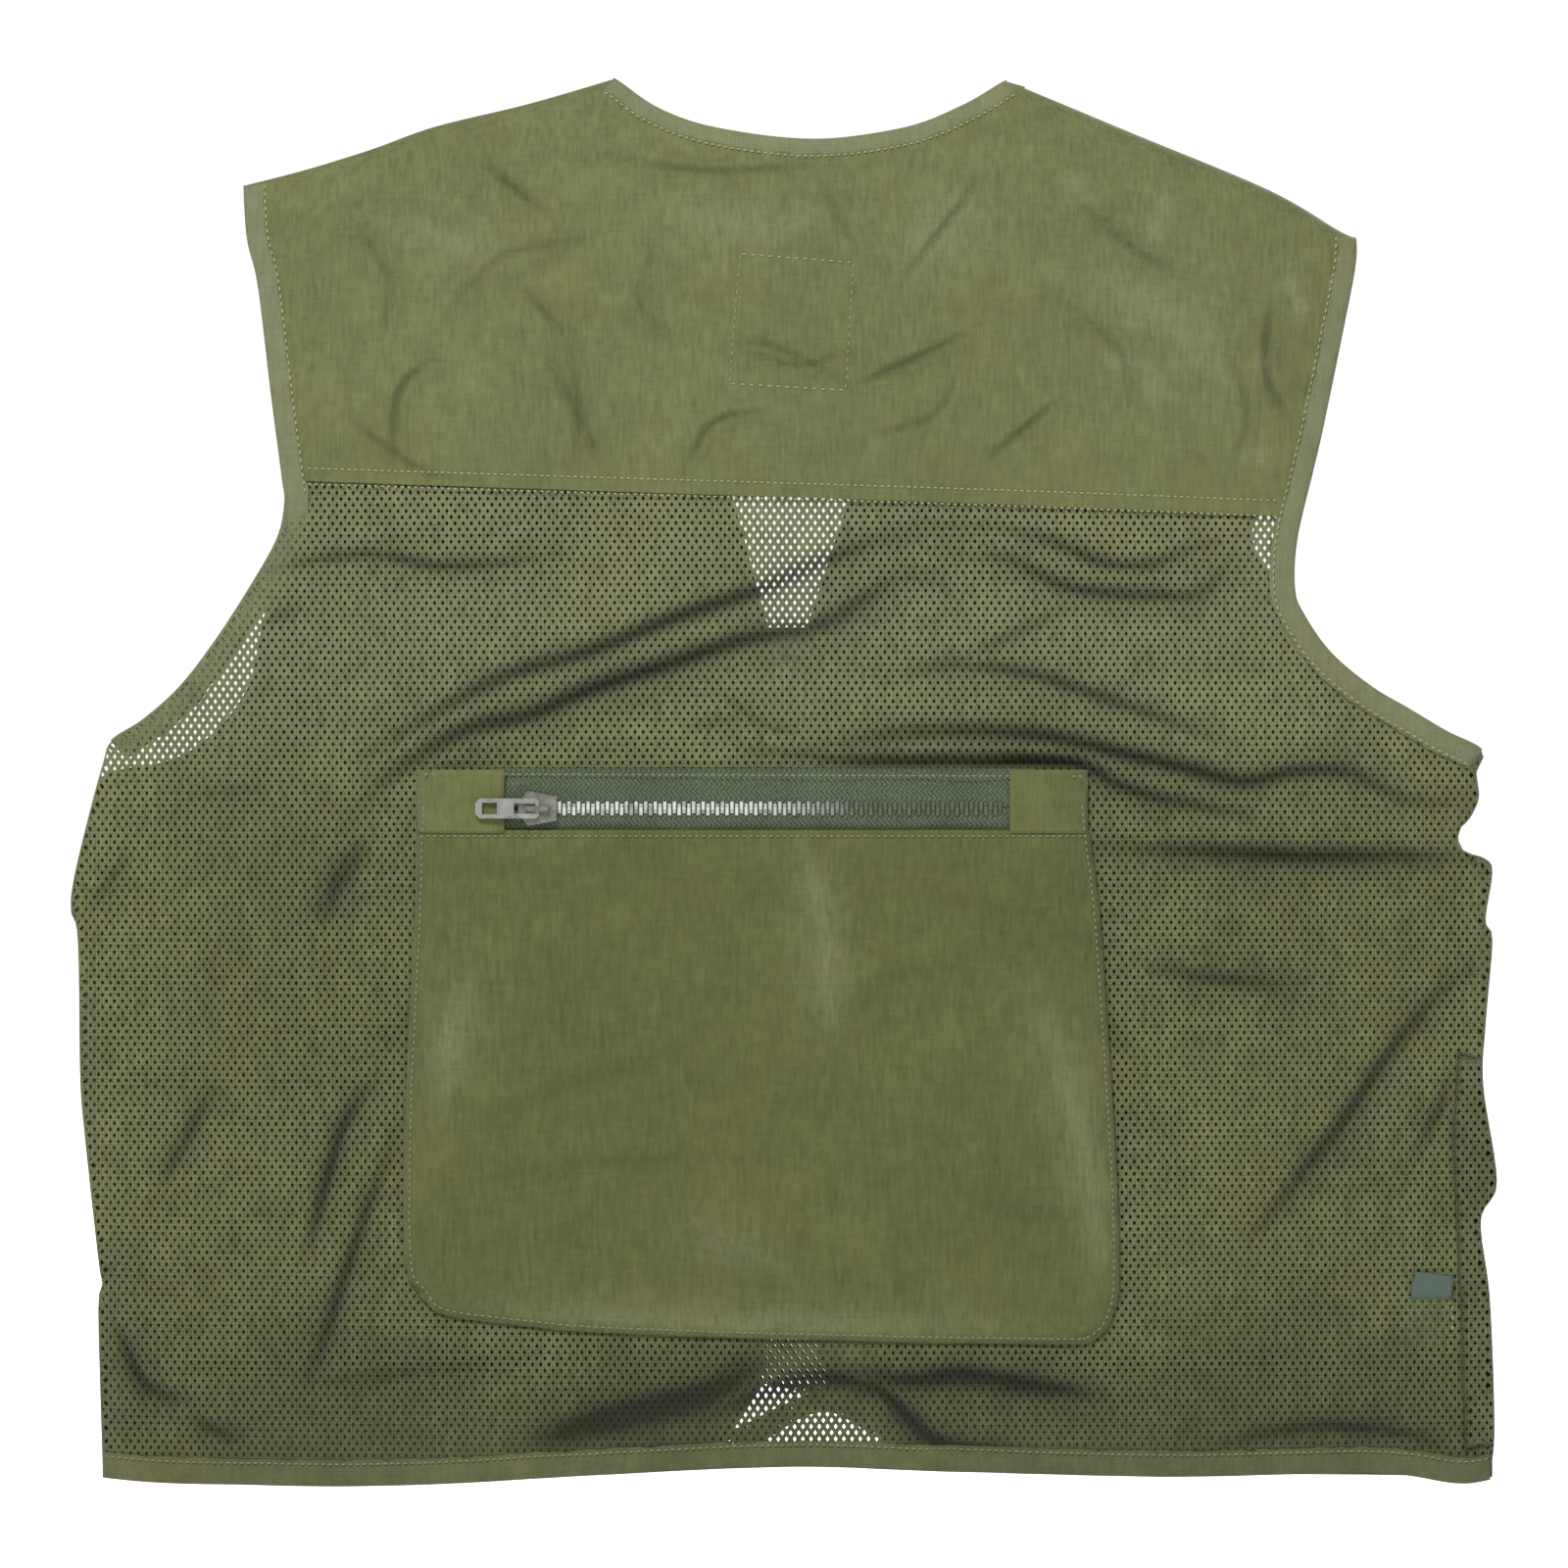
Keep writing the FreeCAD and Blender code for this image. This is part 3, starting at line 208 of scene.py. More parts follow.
def laid_on_body(cloth, inward, height):
    """How far a layer stands from the middle plane: the barrel of the body, the lean of the
    shoulders, the creases, and the rolls that carry it into the side and shoulder seams."""
    across, up = cloth[:, 0], cloth[:, 1]
    deep = body_depth - np.clip(up + 150, 0, None) ** 2 / (2 * shoulder_arc) - across**2 / (2 * barrel_radius)
    from_side = np.minimum(across - at_height(left_edge, up), at_height(right_edge, up) - across)
    from_top = at_width(back_top, across) - up
    beyond_neck = np.maximum(-82 - across, across - 92)
    side_roll = np.sqrt(1 - (1 - np.clip(from_side / 15, 0, 1)) ** 2)
    side_roll = 1 + (side_roll - 1) * (1 - eased(up, -301, -288))
    top_roll = np.sqrt(1 - (1 - np.clip(from_top / 9, 0, 1)) ** 2)
    top_roll = 1 + (top_roll - 1) * eased(beyond_neck, -6, 4)
    roll = side_roll * top_roll
    height = height * np.clip(from_side / 12, 0.15, 1)
    return 0.7 + (deep + height - 0.7) * roll - inward * (0.3 + 0.7 * roll)


def back_face(cloth, inward=0.0):
    """Y of the back's woven outer face, or of a layer that lies inward of it, and its shade."""
    calm = 1 - eased(cloth[:, 1], -215, -186)
    creases, shade = folded(cloth, mesh_folds)
    soft, soft_shade = folded(cloth, yoke_folds)
    height = (creases * calm + soft * (1 - calm) + rumpled(cloth, 60, 4) * (0.3 + 0.5 * calm)
              + rumpled(cloth, 24, 5) * 0.3)
    return -laid_on_body(cloth, inward, height), shade * calm + soft_shade * (1 - calm)


def finish_mesh(name, bm, material, body="vest", stands_for=()):
    """Turns a bmesh into a finished piece that rides on a body."""
    mesh = bpy.data.meshes.new(name)
    bm.to_mesh(mesh)
    bm.free()
    piece = bpy.data.objects.new(name, mesh)
    bpy.context.collection.objects.link(piece)
    mesh.materials.append(material)
    mesh.polygons.foreach_set("use_smooth", [True] * len(mesh.polygons))
    if body:
        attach(piece, body)
    if stands_for:
        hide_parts(*stands_for)
    return piece


def paint(piece, name, values):
    """Stores one number for each point of the cloth, for its material to read."""
    layer = piece.data.attributes.new(name, "FLOAT", "POINT")
    layer.data.foreach_set("value", np.asarray(values, np.float32))


def points_of(bm):
    """The places of a bmesh's points, one row each."""
    return np.array([v.co for v in bm.verts]).reshape(-1, 3)


def set_points(bm, points):
    """Moves a bmesh's points to the given rows."""
    for v, p in zip(bm.verts, points):
        v.co = p


def linear(colour):
    """An sRGB hex colour as linear light."""
    parts = [int(colour[i:i + 2], 16) / 255 for i in (1, 3, 5)]
    return [p / 12.92 if p <= 0.04045 else ((p + 0.055) / 1.055) ** 2.4 for p in parts] + [1.0]


def add(mat, kind, inputs=None, **settings):
    """Adds a shader node. inputs are values or the sockets that feed it."""
    item = mat.node_tree.nodes.new(kind)
    for key, value in settings.items():
        setattr(item, key, value)
    for key, value in (inputs or {}).items():
        if isinstance(value, bpy.types.NodeSocket):
            mat.node_tree.links.new(value, item.inputs[key])
        else:
            item.inputs[key].default_value = value
    return item


def blended(mat, factor, low, high):
    """The colour between low and high that the factor picks."""
    mix = add(mat, "ShaderNodeMix", {0: factor, 6: low, 7: high}, data_type="RGBA")
    return mix.outputs[2]


def new_material(name, settings):
    """A material whose shader has the given plain settings, and the place to draw its pattern from."""
    mat = bpy.data.materials.new(name)
    mat.use_nodes = True
    for key, value in settings.items():
        mat.node_tree.nodes["Principled BSDF"].inputs[key].default_value = value
    return mat, add(mat, "ShaderNodeTexCoord").outputs["Object"]


def surfaced(mat, colour, height, strength, depth):
    """Joins a colour and a fine relief, depth metres deep, to the material's shader."""
    shader = mat.node_tree.nodes["Principled BSDF"]
    relief = add(mat, "ShaderNodeBump", {"Height": height, "Strength": strength, "Distance": depth})
    mat.node_tree.links.new(colour, shader.inputs["Base Color"])
    mat.node_tree.links.new(relief.outputs[0], shader.inputs["Normal"])
    return mat


def cloth_material(name, dark, light, thread, sheen=0.15, bump=0.35, fade=0.10, crease_shade_colour="#23281a",
                   wear_and_light_colour="#9aa07e", slub=0.5):
    """Dyed cotton and polyester cloth. thread is the spacing of its threads in millimetres, drawn
    coarser than the real ones so that they show; crossing threads, slubs, a cloudy fade and
    brownish stains."""
    mat, where = new_material(name, {"Roughness": 0.92, "Specular IOR Level": 0.18, "Sheen Weight": sheen,
                                     "Sheen Roughness": 0.6})
    waves = 0.314 / (thread / 1000)
    warp = add(mat, "ShaderNodeTexWave", {"Vector": where, "Scale": waves, "Distortion": 1.6, "Detail": 1.0,
                                          "Detail Scale": 0.4}, bands_direction="X").outputs["Fac"]
    weft = add(mat, "ShaderNodeTexWave", {"Vector": where, "Scale": waves * 0.9, "Distortion": 1.6,
                                          "Detail": 1.0, "Detail Scale": 0.4},
               bands_direction="Z").outputs["Fac"]
    weave = add(mat, "ShaderNodeMath", {0: warp, 1: weft}, operation="MULTIPLY").outputs[0]
    lengthways = add(mat, "ShaderNodeMapping", {"Vector": where, "Scale": (1.0, 1.0, 0.16)}).outputs[0]
    crossways = add(mat, "ShaderNodeMapping", {"Vector": where, "Scale": (0.16, 1.0, 1.0)}).outputs[0]
    warp_slubs, weft_slubs = [
        add(mat, "ShaderNodeTexNoise", {"Vector": drawn_out, "Scale": 620.0, "Detail": 3.0}).outputs["Fac"]
        for drawn_out in (lengthways, crossways)]
    fewer = add(mat, "ShaderNodeMath", {0: weft_slubs, 1: 0.3}, operation="MULTIPLY").outputs[0]
    slubs = add(mat, "ShaderNodeMath", {0: warp_slubs, 1: 0.7, 2: fewer}, operation="MULTIPLY_ADD").outputs[0]
    patches = add(mat, "ShaderNodeTexNoise", {"Vector": where, "Scale": 11.0, "Detail": 4.0,
                                              "Roughness": 0.6}).outputs["Fac"]
    grain = add(mat, "ShaderNodeMath", {0: slubs, 1: slub * 3, 2: weave}, operation="MULTIPLY_ADD").outputs[0]
    spread = add(mat, "ShaderNodeMapRange", {"Value": grain, "From Min": slub,
                                             "From Max": slub * 2.1 + 0.5}).outputs[0]
    base = blended(mat, spread, linear(dark), linear(light))
    tone = add(mat, "ShaderNodeMapRange", {"Value": patches, "From Min": 0.3, "From Max": 0.7,
                                           "To Min": 1 - fade, "To Max": 1 + fade}).outputs[0]
    clouds = add(mat, "ShaderNodeTexNoise", {"Vector": where, "Scale": 75.0, "Detail": 5.0,
                                             "Roughness": 0.65}).outputs["Fac"]
    cloudy = add(mat, "ShaderNodeMapRange", {"Value": clouds, "From Min": 0.3, "From Max": 0.7,
                                             "To Min": 1 - fade, "To Max": 1 + fade}).outputs[0]
    shaded = add(mat, "ShaderNodeMath", {0: tone, 1: cloudy}, operation="MULTIPLY").outputs[0]
    stains = add(mat, "ShaderNodeTexNoise", {"Vector": where, "Scale": 17.0, "Detail": 6.0,
                                             "Roughness": 0.7}).outputs["Fac"]
    warmth = add(mat, "ShaderNodeMapRange", {"Value": stains, "From Min": 0.48, "From Max": 0.7,
                                             "To Min": 0.0, "To Max": 0.32}).outputs[0]
    warmed = blended(mat, warmth, base, linear("#847743"))
    toned = add(mat, "ShaderNodeVectorMath", {0: warmed, "Scale": shaded}, operation="SCALE").outputs[0]
    # The attribute read here lightens the cloth: real wear on the yoke and pocket, and painted light towards
    # the top of the back mesh.
    wear_and_painted_light = add(mat, "ShaderNodeAttribute", attribute_name="wear_and_painted_light").outputs["Fac"]
    streaky_wear_and_light = add(mat, "ShaderNodeMath", {0: wear_and_painted_light, 1: slubs}, operation="MULTIPLY").outputs[0]
    patchy_wear_and_light = add(mat, "ShaderNodeMath", {0: streaky_wear_and_light, 1: 0.5}, operation="MULTIPLY").outputs[0]
    worn_and_lit = blended(mat, patchy_wear_and_light, toned, linear(wear_and_light_colour))
    # Painted shade: the attribute read here darkens the cloth towards a shade colour along its creases, and
    # on the knit also towards the hem.
    painted_crease_shade = add(mat, "ShaderNodeAttribute", attribute_name="painted_crease_shade").outputs["Fac"]
    crease_shaded = blended(mat, painted_crease_shade, worn_and_lit, linear(crease_shade_colour))
    return surfaced(mat, crease_shaded, grain, bump, 0.0004)


# Knitted polyester: the strands between the holes catch light softly, and painted shade takes them nearly
# black in folds.
mesh_knit = cloth_material("Olive polyester mesh knit", "#545a36", "#7f855a", 1.3, sheen=0.25, bump=0.6,
                           fade=0.16, crease_shade_colour="#1c2012", slub=0.7)

hole_across, hole_up, strand = 3.6, 5.4, 0.86


def outline_of(*runs):
    """One outline from the runs of points that follow each other round it."""
    return np.vstack(runs)


def within(outline, spots):
    """Which spots lie inside a closed outline."""
    inside = np.zeros(len(spots), bool)
    x, z = spots[:, 0], spots[:, 1]
    for (ax, az), (bx, bz) in zip(outline, np.roll(outline, -1, axis=0)):
        crosses = (az > z) != (bz > z)
        with np.errstate(divide="ignore", invalid="ignore"):
            inside ^= crosses & (x < (bx - ax) * (z - az) / (bz - az) + ax)
    return inside


def netting(name, outline, face, inward, node, covered=(), cloth=mesh_knit, shift=(0, 0), painted_top_light=0.0):
    """Mesh knit cut to an outline: a lattice of diamonds, each with a hole punched in it. Under
    a pocket, inside a covered outline, the holes don't show and are left out."""
    low, high = outline.min(0), outline.max(0)
    pitch = np.array([hole_across, hole_up])
    middle, half = np.rint((low + high) / 2 / pitch) * pitch + shift, (high - low) / 2
    cells = 2 * int((half[0] / hole_across + half[1] / hole_up) + 3)
    bm = bmesh.new()
    bmesh.ops.create_grid(bm, x_segments=cells, y_segments=cells, size=0.5)
    a, b = cells * hole_across / 2, cells * hole_up / 2
    lay = Matrix(((a, a, 0, middle[0]), (0, 0, 0, 0), (b, -b, 0, middle[1]), (0, 0, 0, 1)))
    bmesh.ops.transform(bm, matrix=lay, verts=bm.verts)
    centres = np.array([f.calc_center_median() for f in bm.faces])[:, [0, 2]]
    keep = within(outline, centres)
    bmesh.ops.delete(bm, geom=[f for f, k in zip(bm.faces, keep) if not k], context="FACES")
    for v in [v for v in bm.verts if v.is_boundary]:
        spot = outline[np.argmin(((outline - (v.co.x, v.co.z)) ** 2).sum(1))]
        v.co.x, v.co.z = spot
    whole = [f for f in bm.faces if f.calc_area() > 0.7 * hole_across * hole_up / 2]
    for cover in covered:
        centres = np.array([f.calc_center_median() for f in whole])[:, [0, 2]]
        whole = [f for f, hid in zip(whole, within(cover, centres)) if not hid]
    bmesh.ops.inset_individual(bm, faces=whole, thickness=strand, use_even_offset=True)
    bmesh.ops.delete(bm, geom=whole, context="FACES_ONLY")
    points = points_of(bm)
    depth, shade = face(points[:, [0, 2]], inward)
    points[:, 1] = depth
    set_points(bm, points / 1000)
    bmesh.ops.recalc_face_normals(bm, faces=bm.faces)
    piece = finish_mesh(name, bm, cloth, stands_for=[node] if node else ())
    # Painted shade: the knit is darkened in its creases and, broadly, towards the hem.
    paint(piece, "painted_crease_shade", np.clip(shade * 0.8 + 0.3 * eased(-points[:, 2], 520, 600), 0, 0.9))
    # Painted light: the back mesh is lightened towards its top.
    if painted_top_light:
        paint(piece, "wear_and_painted_light", painted_top_light * eased(points[:, 2], -360, -240))
    return piece


def between(edge, low, high, axis=1):
    """The part of an edge between two heights."""
    return edge[(edge[:, axis] >= low) & (edge[:, axis] <= high)]


pocket_left = smooth_line([(-167, -305), (-168, -332), (-169, -370), (-173, -454), (-173, -522),
                           (-166, -536)])
pocket_bottom = smooth_line([(-166, -536), (-157, -545), (-120, -550), (-84, -553), (6, -556), (112, -558),
                             (128, -557), (136, -551)])
pocket_right = smooth_line([(136, -551), (140, -540), (141, -527), (140, -484), (133, -376), (128, -332),
                            (126, -305)])
pocket_outline = outline_of(pocket_left, pocket_bottom[1:], pocket_right[1:])


def back_mesh_face(cloth, inward):
    """The mesh behind the pocket lies flat, clear of the zip's slider."""
    clear_of_slider = -25.4
    depth, shade = back_face(cloth, inward)
    hidden = within(pocket_outline, cloth)
    return np.where(hidden, np.maximum(depth, clear_of_slider), depth), shade


back_mesh_outline = outline_of(
    yoke_seam[::-1] + (0, 8), between(left_edge, -617, -181), back_hem[1:],
    between(right_edge, -617, -196)[::-1])
hidden_by_pocket = (pocket_outline - pocket_outline.mean(0)) * 0.93 + pocket_outline.mean(0)
back_mesh = netting("Back_mesh_panel", back_mesh_outline, back_mesh_face, 1.6, "back_mesh_panel",
                    [hidden_by_pocket], painted_top_light=0.9)


# Tucks of the same mesh lie doubled behind the middle of the hem and half close its holes.
low_tuck = outline_of(
    smooth_line([(-48, -604), (-28, -595), (-6, -584), (12, -578), (30, -584), (46, -596), (60, -606)]),
    smooth_line([(42, -604), (28, -595), (14, -588), (2, -590), (-10, -597), (-20, -604)]))
high_tuck = outline_of(
    smooth_line([(-22, -550), (6, -548), (34, -550)]), smooth_line([(40, -572), (12, -580), (-30, -572)]))
for name, outline, inward, shift, flat, area in (
    ("Hem_tuck_1", low_tuck, 2.6, (0.9, 0.7), (0.108, 0.026), 0.0009),
    ("Hem_tuck_2", low_tuck, 3.4, (-0.8, 0.9), (0.108, 0.026), 0.0009),
    ("Hem_tuck_3", high_tuck, 2.6, (0.75, 0.9), (0.07, 0.03), 0.0015),
):
    tuck = netting(name, outline, back_face, inward, None, shift=shift)

# At the lower right the front's mesh wraps round the side seam and shows as a narrow strip.
wrap_seam = smooth_line([(291, -430), (289, -470), (291, -520), (293, -570), (294, -607)])
wrap_outline = outline_of(wrap_seam, between(right_edge, -607, -430)[::-1])
wrap = netting("Side_seam_wrap", wrap_outline, back_face, 0.5, None, shift=(1.8, 2.7))
wrap_spots = np.array([v.co for v in wrap.data.vertices])[:, [0, 2]] * 1000
off_seam = np.abs(wrap_spots[:, 0] - at_height(wrap_seam, wrap_spots[:, 1]))
# Painted shade: the strip is darkened all over, and most along its seam.
wrap_shade = 0.2 + 0.6 * np.exp(-(off_seam / 1.3) ** 2)
wrap.data.attributes["painted_crease_shade"].data.foreach_set("value", wrap_shade.astype(np.float32))


# ------------------------------------------------------------------ back yoke
# Two woven poly-cotton layers across the shoulders, cut in one and stitched over the top of the
# mesh with twin rows. The cloth is sun-faded in patches and rubbed pale at its ridges.

def evenly(path, step):
    """The same path with its points a step apart."""
    run = np.r_[0, np.cumsum(np.hypot(*np.diff(path, axis=0).T))]
    spots = np.linspace(0, run[-1], max(2, int(run[-1] / step)))
    return np.c_[np.interp(spots, run, path[:, 0]), np.interp(spots, run, path[:, 1])]


def partway(path, shares):
    """The points that lie the given shares of the way along a path."""
    run = np.r_[0, np.cumsum(np.hypot(*np.diff(path, axis=0).T))]
    return np.c_[np.interp(shares * run[-1], run, path[:, 0]), np.interp(shares * run[-1], run, path[:, 1])]


def stretched(left, right, low, top, u, v):
    """Points of a panel stretched between four edges. Left and right run upward, low and top
    run from left to right."""
    u1, v1 = u[:, None], v[:, None]
    sides = (1 - u1) * partway(left, v) + u1 * partway(right, v)
    ends = (1 - v1) * partway(low, u) + v1 * partway(top, u)
    corners = ((1 - u1) * (1 - v1) * low[0] + u1 * (1 - v1) * low[-1] + (1 - u1) * v1 * top[0]
               + u1 * v1 * top[-1])
    return sides + ends - corners


def panel(name, edges, cells, face, material, node, thick=0.0, wear=(), body="vest"):
    """A woven panel between four edges, laid on the body. thick is for a panel whose edge shows."""
    bm = bmesh.new()
    bmesh.ops.create_grid(bm, x_segments=cells[0], y_segments=cells[1], size=0.5)
    points = points_of(bm)
    cloth = stretched(*edges, points[:, 0] + 0.5, points[:, 1] + 0.5)
    depth, shade = face(cloth)
    set_points(bm, np.c_[cloth[:, 0], depth, cloth[:, 1]] / 1000)
    bmesh.ops.recalc_face_normals(bm, faces=bm.faces)
    outward = sum(f.normal.y for f in bm.faces) * (1 if depth.mean() > 0 else -1)
    if outward < 0:
        bmesh.ops.reverse_faces(bm, faces=bm.faces)
    piece = finish_mesh(name, bm, material, body, [node])
    # Painted shade: the panel is darkened along its creases.
    paint(piece, "painted_crease_shade", shade * 0.5)
    if wear:
        paint(piece, "wear_and_painted_light", folded(cloth, wear)[1])
    if thick:
        layers = piece.modifiers.new("Cloth thickness", "SOLIDIFY")
        layers.thickness, layers.offset = thick / 1000, -1
    return piece


woven = cloth_material("Faded olive poly-cotton", "#60673f", "#808658", 0.62, fade=0.08, crease_shade_colour="#343a20",
                       slub=1.1)
yoke_wear = [
    (4, 6, [(80, -49), (63, -70), (45, -92)]), (4, 5, [(152, -69), (162, -69)]),
    (4, 5, [(217, -101), (225, -102)]), (4, 5, [(150, -137), (160, -138)]),
    (4, 4, [(200, -167), (208, -168)]),
    (2.5, 5, [(-180, -60), (-150, -75), (-120, -80)]), (2, 6, [(-60, -60), (-20, -66), (20, -62)]),
    (5, 2.2, [(204, -120), (203, -134)]), (4, 2.5, [(160, -52), (163, -62)]),
    (4, 3, [(216, -86), (218, -98)]),
    (4, 3, [(130, -120), (146, -128), (160, -126)]), (3, 9, [(120, -90), (170, -110), (195, -150)]),
    (3, 3, [(118, -44), (126, -58)]), (4, 2.5, [(192, -162), (202, -170)]),
]
yoke_edges = (between(left_edge, -181, -40)[::-1], between(right_edge, -196, -60)[::-1], yoke_seam, back_top)
back_yoke = panel("Back_yoke", yoke_edges, (290, 105), back_face, woven, "back_yoke",
                  wear=yoke_wear)


# ------------------------------------------------------------------ sewing thread
# Lockstitch in pale olive polyester thread: each stitch is a short plump bead that sinks at
# both ends, so that rows read as dashes.

def thread_material(name, colour):
    """Spun polyester thread: matt, slightly fuzzy, its twist too fine to show."""
    mat, where = new_material(name, {"Roughness": 0.75, "Sheen Weight": 0.3})
    dirt = add(mat, "ShaderNodeTexNoise", {"Vector": where, "Scale": 300.0}).outputs["Fac"]
    dark = [c * 0.7 for c in linear(colour)[:3]] + [1]
    shader = mat.node_tree.nodes["Principled BSDF"]
    mat.node_tree.links.new(blended(mat, dirt, dark, linear(colour)), shader.inputs["Base Color"])
    return mat


olive_thread = thread_material("Pale olive sewing thread", "#b9ba8e")
dull_thread = thread_material("Dull olive sewing thread", "#9aa077")
white_thread = thread_material("Bleached sewing thread", "#b4b596")


def stitched(name, rows, thread, body="vest"):
    """Rows of stitches. Each row is (path, face, pitch): face gives the depth of the cloth
    below the stitch, and every stitch lies along the cloth's own slope."""
    bm = bmesh.new()
    for path, face, pitch in rows:
        cloth = evenly(path, pitch)
        depth = face(cloth)[0]
        spots = np.c_[cloth[:, 0], depth, cloth[:, 1]]
        outward = 1 if depth.mean() > 0 else -1
        for a, b in zip(spots, spots[1:]):
            way = Vector(b - a).normalized()
            middle = Vector((a + b) / 2) + Vector((0, 0.25 * outward, 0))
            turn = way.to_track_quat("X", "Y").to_matrix().to_4x4()
            shape = Matrix.Diagonal((pitch * 0.33, 0.46, 0.46, 1))
            bmesh.ops.create_icosphere(bm, subdivisions=1, radius=0.001,
                                       matrix=Matrix.Translation(middle / 1000) @ turn @ shape)
    return finish_mesh(name, bm, thread, body)


def beside(path, gap):
    """The path moved sideways, to the left of its direction when the gap is above zero."""
    way = np.gradient(path, axis=0)
    way /= np.hypot(way[:, 0], way[:, 1])[:, None]
    return path + gap * np.c_[-way[:, 1], way[:, 0]]


def straight(start, end):
    """A straight row from one point to another."""
    return evenly(np.array([start, end], float), 2)


yoke_inside = yoke_seam[(yoke_seam[:, 0] > -218) & (yoke_seam[:, 0] < 211)]
stitched("Yoke_seam_stitches", [(yoke_inside + (0, 1.7), back_face, 2.9),
                                (yoke_inside + (0, 8.6), back_face, 2.9)], olive_thread)
label_ends = [straight((-25.8, -78.7), (24, -82.6)), straight((-30.5, -136), (20.6, -139))]
label_sides = [straight((24, -82.6), (20.6, -139)), straight((-25.8, -78.7), (-30.5, -136))]
stitched("Label_stitches", [(end, back_face, 3.5) for end in label_ends], white_thread)
stitched("Label_side_stitches", [(side, back_face, 3.5) for side in label_sides], dull_thread)


# ------------------------------------------------------------------ labels
# A blank woven label sewn inside the yoke and a blank satin care label in the right side seam.

def satin_material(name, colour, shine):
    """Satin-woven polyester ribbon: long smooth floats that shine a little."""
    mat, where = new_material(name, {"Roughness": shine, "Sheen Weight": 0.2})
    floats = add(mat, "ShaderNodeTexWave", {"Vector": where, "Scale": 300.0, "Distortion": 2.0},
                 bands_direction="X").outputs["Fac"]
    dull = [c * 0.82 for c in linear(colour)[:3]] + [1]
    return surfaced(mat, blended(mat, floats, dull, linear(colour)), floats, 0.2, 0.0002)


def block(left, low, right, top):
    """The four straight edges of a rectangle."""
    rows = [[(left, low), (left, top)], [(right, low), (right, top)], [(left, low), (right, low)],
            [(left, top), (right, top)]]
    return tuple(np.array(row, float) for row in rows)


def inside_back(inward):
    """The face of a layer that lies inward of the back's woven face."""
    return lambda cloth: back_face(cloth, inward)


yoke_label = panel("Yoke_label", block(-29, -138, 23, -80), (16, 18), inside_back(2.3),
                   satin_material("Woven polyester label", "#bfbca8", 0.55), "yoke_label", 0.4)


def care_label_face(cloth, inward=0.0):
    """The ribbon's upper end has worked out through the seam; the rest lies inside."""
    depth, shade = back_face(cloth, 2.8)
    return depth - 3.5 * eased(cloth[:, 1], -541, -537), shade


care_edges = tuple(np.array(row, float) for row in (
    [(266, -561), (272, -527)], [(286, -561), (289, -529)],
    [(266, -561), (286, -561)], [(272, -527), (289, -529)]))
care_label = panel("Care_label", care_edges, (10, 24), care_label_face,
                   satin_material("Satin care ribbon", "#58695e", 0.6), "care_label", 0.3)
stitched("Care_label_stitches", [(np.array([(288.5, -541), (288.5, -554)], float), inside_back(0.3), 3.2)],
         white_thread)


# ------------------------------------------------------------------ neck, armhole and hem bindings
# Bias-cut poly-cotton tape folded over every raw edge and sewn with one row near its inner
# edge. It puckers a little between stitches and is paler where it is rubbed.

binding_tape = cloth_material("Grey-green bias binding", "#6f7555", "#8d9370", 0.9, fade=0.08,
                              wear_and_light_colour="#b3b79c", crease_shade_colour="#4d5238")
hem_tape = cloth_material("Olive bias binding", "#555b3c", "#70764f", 0.9, fade=0.12, crease_shade_colour="#383d28")


def bound(bm, path, width, face, seed):
    """Adds a folded tape to a bmesh. The cloth lies to the left of the path, which is its raw edge."""
    ring, thick, middle = 18, 1.15, 0.75
    path = evenly(path, 2.4)
    strip = bmesh.new()
    bmesh.ops.create_grid(strip, x_segments=len(path) - 1, y_segments=ring, size=0.5)
    points = points_of(strip)
    i = np.rint((points[:, 0] + 0.5) * (len(path) - 1)).astype(int)
    turn = (points[:, 1] + 0.5) * 2 * np.pi
    c, s = np.cos(turn), np.sin(turn)
    share = 0.5 - 0.5 * np.sign(c) * np.abs(c) ** 0.7
    side = np.sign(s) * np.abs(s) ** 0.75
    way = np.gradient(path, axis=0)
    way /= np.hypot(way[:, 0], way[:, 1])[:, None]
    inward = np.c_[-way[:, 1], way[:, 0]]
    uneven = rumpled(path, 9, seed)
    across = share * (width + 0.35 * uneven[i]) - 0.7
    cloth = path[i] + inward[i] * across[:, None]
    pinch = 1 - 0.45 * np.exp(-((across - (width - 2.4)) / 0.9) ** 2)
    puff = thick * pinch * (1 + 0.16 * rumpled(path, 7, seed + 1)[i])
    depth = face(cloth, middle)[0]
    set_points(strip, np.c_[cloth[:, 0], depth + side * puff, cloth[:, 1]] / 1000)
    bmesh.ops.remove_doubles(strip, verts=strip.verts, dist=1e-6)
    open_ends = [e for e in strip.edges if e.is_boundary]
    bmesh.ops.holes_fill(strip, edges=open_ends, sides=0)
    bmesh.ops.recalc_face_normals(strip, faces=strip.faces)
    whole = bpy.data.meshes.new("strip")
    strip.to_mesh(whole)
    strip.free()
    bm.from_mesh(whole)
    bpy.data.meshes.remove(whole)


def front_face(cloth, inward=0.0):
    """Y of the front's woven outer face, or of a layer that lies inward of it, and its shade."""
    calm = 1 - eased(cloth[:, 1], -190, -150)
    creases, shade = folded(cloth, front_folds)
    under_pocket = np.zeros(len(cloth))
    for low, high in pocket_places:
        into = np.minimum((cloth - low).min(1), (high - cloth).min(1))
        under_pocket = np.maximum(under_pocket, eased(into, -14, 2))
    height = creases * calm + rumpled(cloth, 70, 14) * 1.1 + rumpled(cloth, 26, 15) * 0.3
    height = height * (1 - under_pocket)
    return laid_on_body(cloth, inward, height), shade * calm * (1 - under_pocket)


